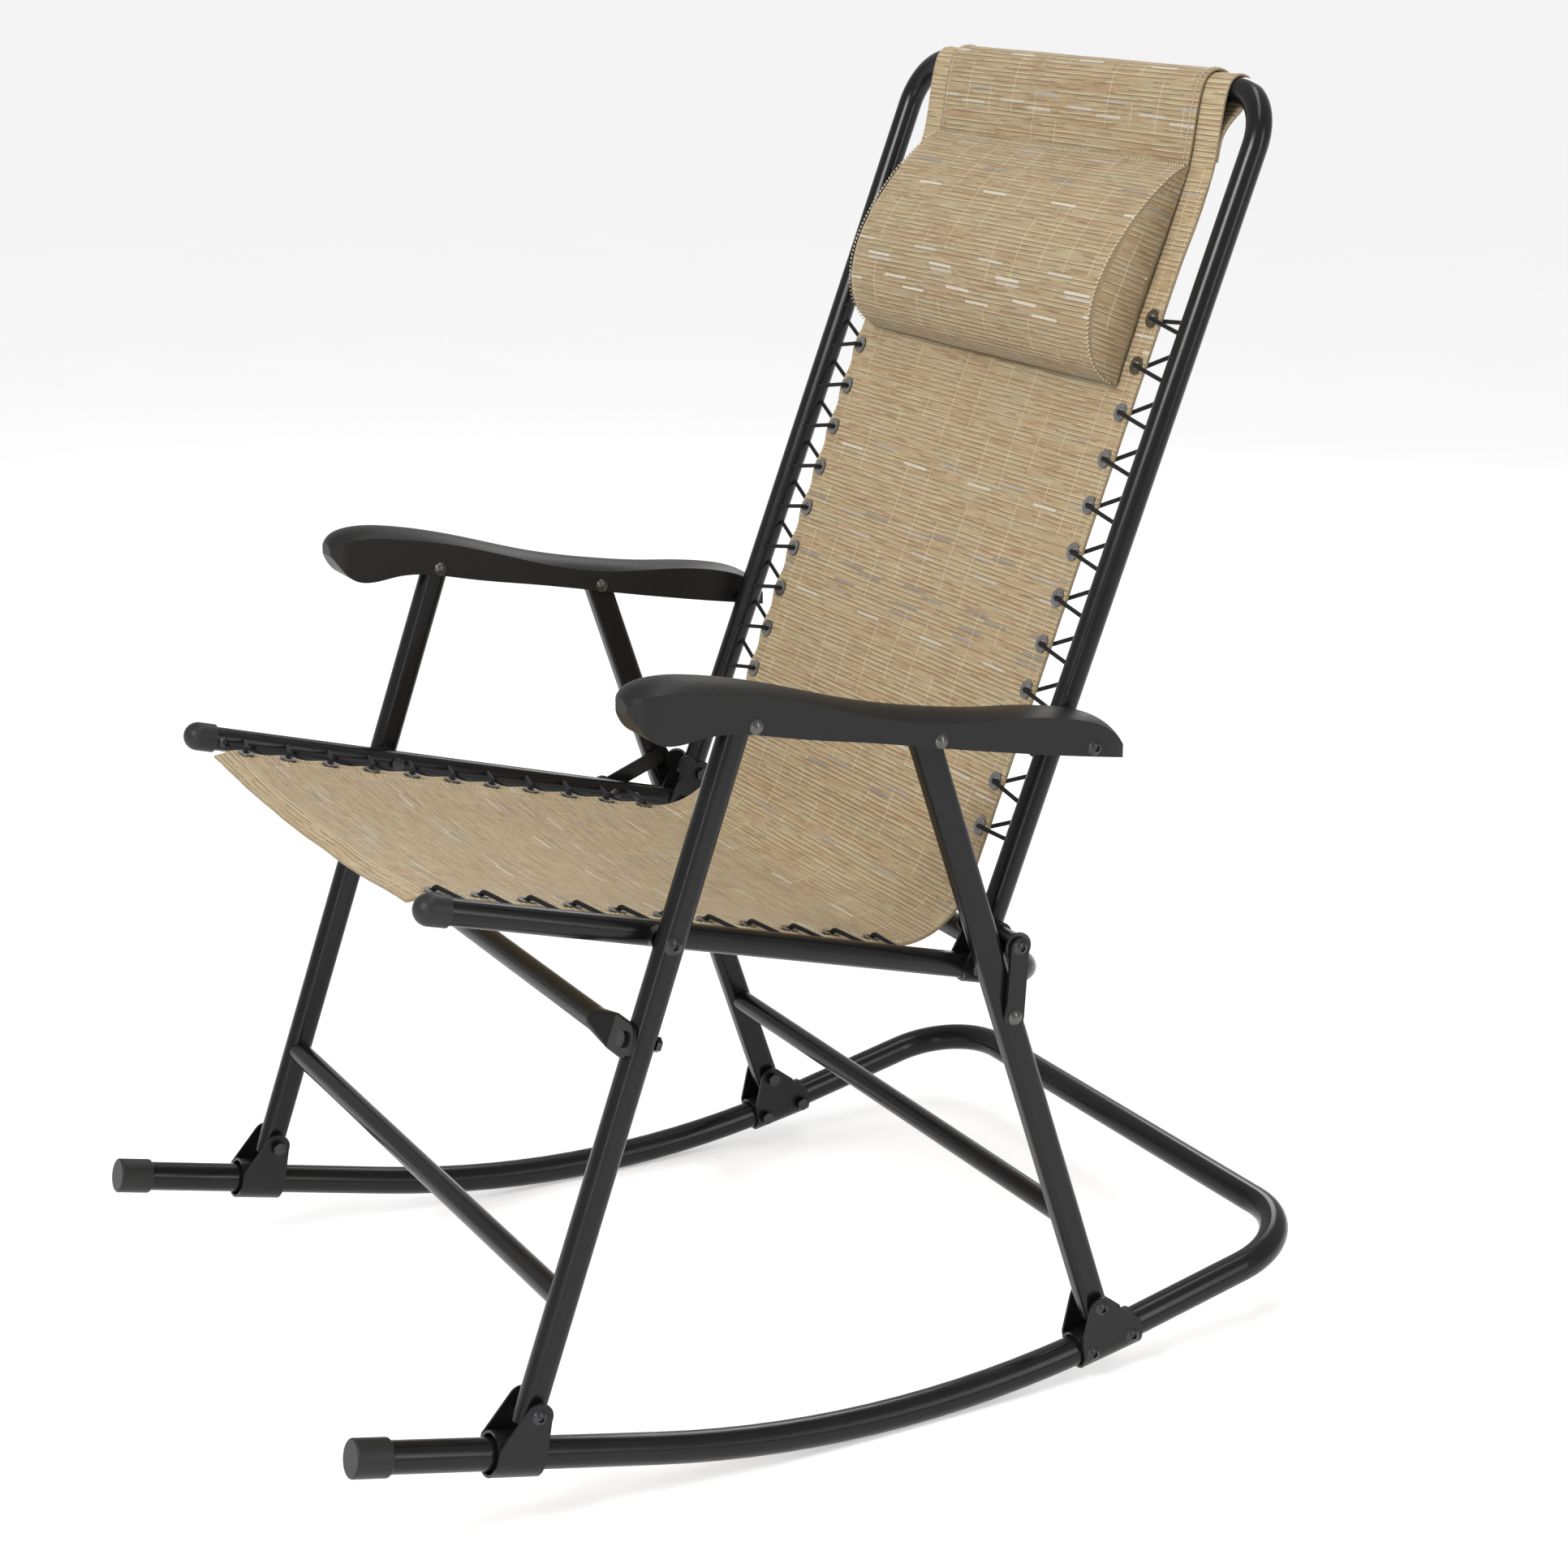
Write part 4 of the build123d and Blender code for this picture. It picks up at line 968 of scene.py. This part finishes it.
def make_flap():
    """Flap sewn to the headrest's top seam, over the sleeve and down behind it."""
    insets = (0.0, SIDE_FOLD, SIDE_FOLD + 1 * MM)
    rows = filled({0.0, FLAP_FRONT, FLAP_FRONT + FLAP_WRAP,
                   *(FLAP_LENGTH - inset for inset in insets)}, 5.0 * MM)
    columns = filled({side * (FLAP_HALF - inset) for side in (1, -1) for inset in insets}, 8.0 * MM)
    hem_edge = SIDE_FOLD + 0.5 * MM
    middle, normals, thickness, cloth = [], [], [], []
    for s in rows:
        for u in columns:
            point, normal = flap_point(u, s)
            wave = noise.noise(Vector((u * 9, s * 14, 5.0))) * 1.2 * MM
            free = float(smooth((s - FLAP_FRONT * 0.2) / 0.04)) * 0.8
            middle.append(point + normal * (abs(wave) * free))
            normals.append(normal)
            hem = FLAP_HALF - abs(u) < hem_edge or FLAP_LENGTH - s < hem_edge
            thickness.append(SHEET_T + (FOLD_T if hem else 0.0))
            cloth.append((u, 3.0 + s, 0.0))
    quads = grid_quads(len(rows), len(columns))
    points, faces = thick_sheet(np.array(middle), np.array(normals), np.array(thickness), quads)
    cloth = np.array(cloth)
    both = np.vstack((cloth, cloth + (0, 2, 0)))
    return new_piece("headrest_flap", points, faces, PILLOW, both)


def flap_seams():
    """Seams down both sides of the flap and along its tail."""
    side_run = np.arange(4 * MM, FLAP_LENGTH - 4 * MM, 4 * MM)
    tail_run = np.arange(-FLAP_HALF + FLAP_SEAM, FLAP_HALF - FLAP_SEAM, 5 * MM)
    paths = [[(side * (FLAP_HALF - FLAP_SEAM), s) for s in side_run] for side in (1, -1)]
    paths.append([(u, FLAP_LENGTH - FLAP_SEAM) for u in tail_run])
    lines = []
    for path in paths:
        line, ups = [], []
        for u, s in path:
            point, normal = flap_point(u, s)
            line.append(point + normal * 1.6 * MM)
            ups.append(normal)
        lines.append((line, ups))
    return stitch_piece("flap_stitching", lines)


pillow = make_pillow()
pillow_rope = pillow_seams()
flap = make_flap()
flap_stitches = flap_seams()
for piece in (pillow, pillow_rope, flap, flap_stitches):
    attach(piece, "back")
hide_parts("headrest")


# ---------------------------------------------------------------- floor, lights and camera
CHAIR_MIDDLE = Vector((0.0, 0.05, 0.5))         # what the lights look at
CAMERA_AT = Vector((2.1853, -1.1394, 1.2353))
CAMERA_AIM = Vector((0.0, 0.0752, 0.4721))
CAMERA_LENS = 68.76                             # millimetres, on a sensor 36 wide


def make_floor():
    size = 400.0
    mesh = bpy.data.meshes.new("floor")
    corners = [(-size, -size, 0), (size, -size, 0), (size, size, 0), (-size, size, 0)]
    mesh.from_pydata(corners, [], [(0, 1, 2, 3)])
    g = Graph("pale_floor", Roughness=0.75)
    g.colour(g.mix(g.noise(g.place(), 3.0), (0.84, 0.84, 0.84), (0.87, 0.87, 0.87)))
    g.shader.inputs["Emission Color"].default_value = (1, 1, 1, 1)
    g.shader.inputs["Emission Strength"].default_value = 0.38
    mesh.materials.append(g.material)
    floor = bpy.data.objects.new("floor", mesh)
    bpy.context.collection.objects.link(floor)


def add_light(name, place, size, power):
    """White area light that looks at the chair's middle."""
    data = bpy.data.lights.new(name, "AREA")
    data.shape = "RECTANGLE"
    data.size, data.size_y = size
    data.energy = power
    light = bpy.data.objects.new(name, data)
    light.location = place
    aim = CHAIR_MIDDLE - Vector(place)
    light.rotation_euler = aim.to_track_quat("-Z", "Y").to_euler()
    bpy.context.collection.objects.link(light)


def make_world():
    world = bpy.data.worlds.new("studio")
    world.use_nodes = True
    background = world.node_tree.nodes["Background"]
    background.inputs["Color"].default_value = (1.0, 1.0, 1.0, 1)
    background.inputs["Strength"].default_value = 0.60
    bpy.context.scene.world = world


def make_camera():
    data = bpy.data.cameras.new("camera")
    data.lens = CAMERA_LENS
    data.sensor_width = 36.0
    camera = bpy.data.objects.new("camera", data)
    camera.location = CAMERA_AT
    aim = CAMERA_AIM - CAMERA_AT
    camera.rotation_euler = aim.to_track_quat("-Z", "Y").to_euler()
    bpy.context.collection.objects.link(camera)
    bpy.context.scene.camera = camera


make_floor()
make_world()
make_camera()
add_light("key_softbox", (1.2, -2.6, 2.6), (1.3, 0.9), 74)
add_light("top_softbox", (0.3, 0.4, 3.2), (2.4, 0.5), 22)
add_light("side_softbox", (3.0, 1.2, 1.6), (0.6, 1.8), 20)
add_light("front_strip", (2.6, -1.9, 0.5), (0.16, 1.6), 9)
add_light("rear_softbox", (-2.2, 2.4, 2.2), (1.0, 1.4), 24)
bpy.context.scene.view_settings.view_transform = "Standard"
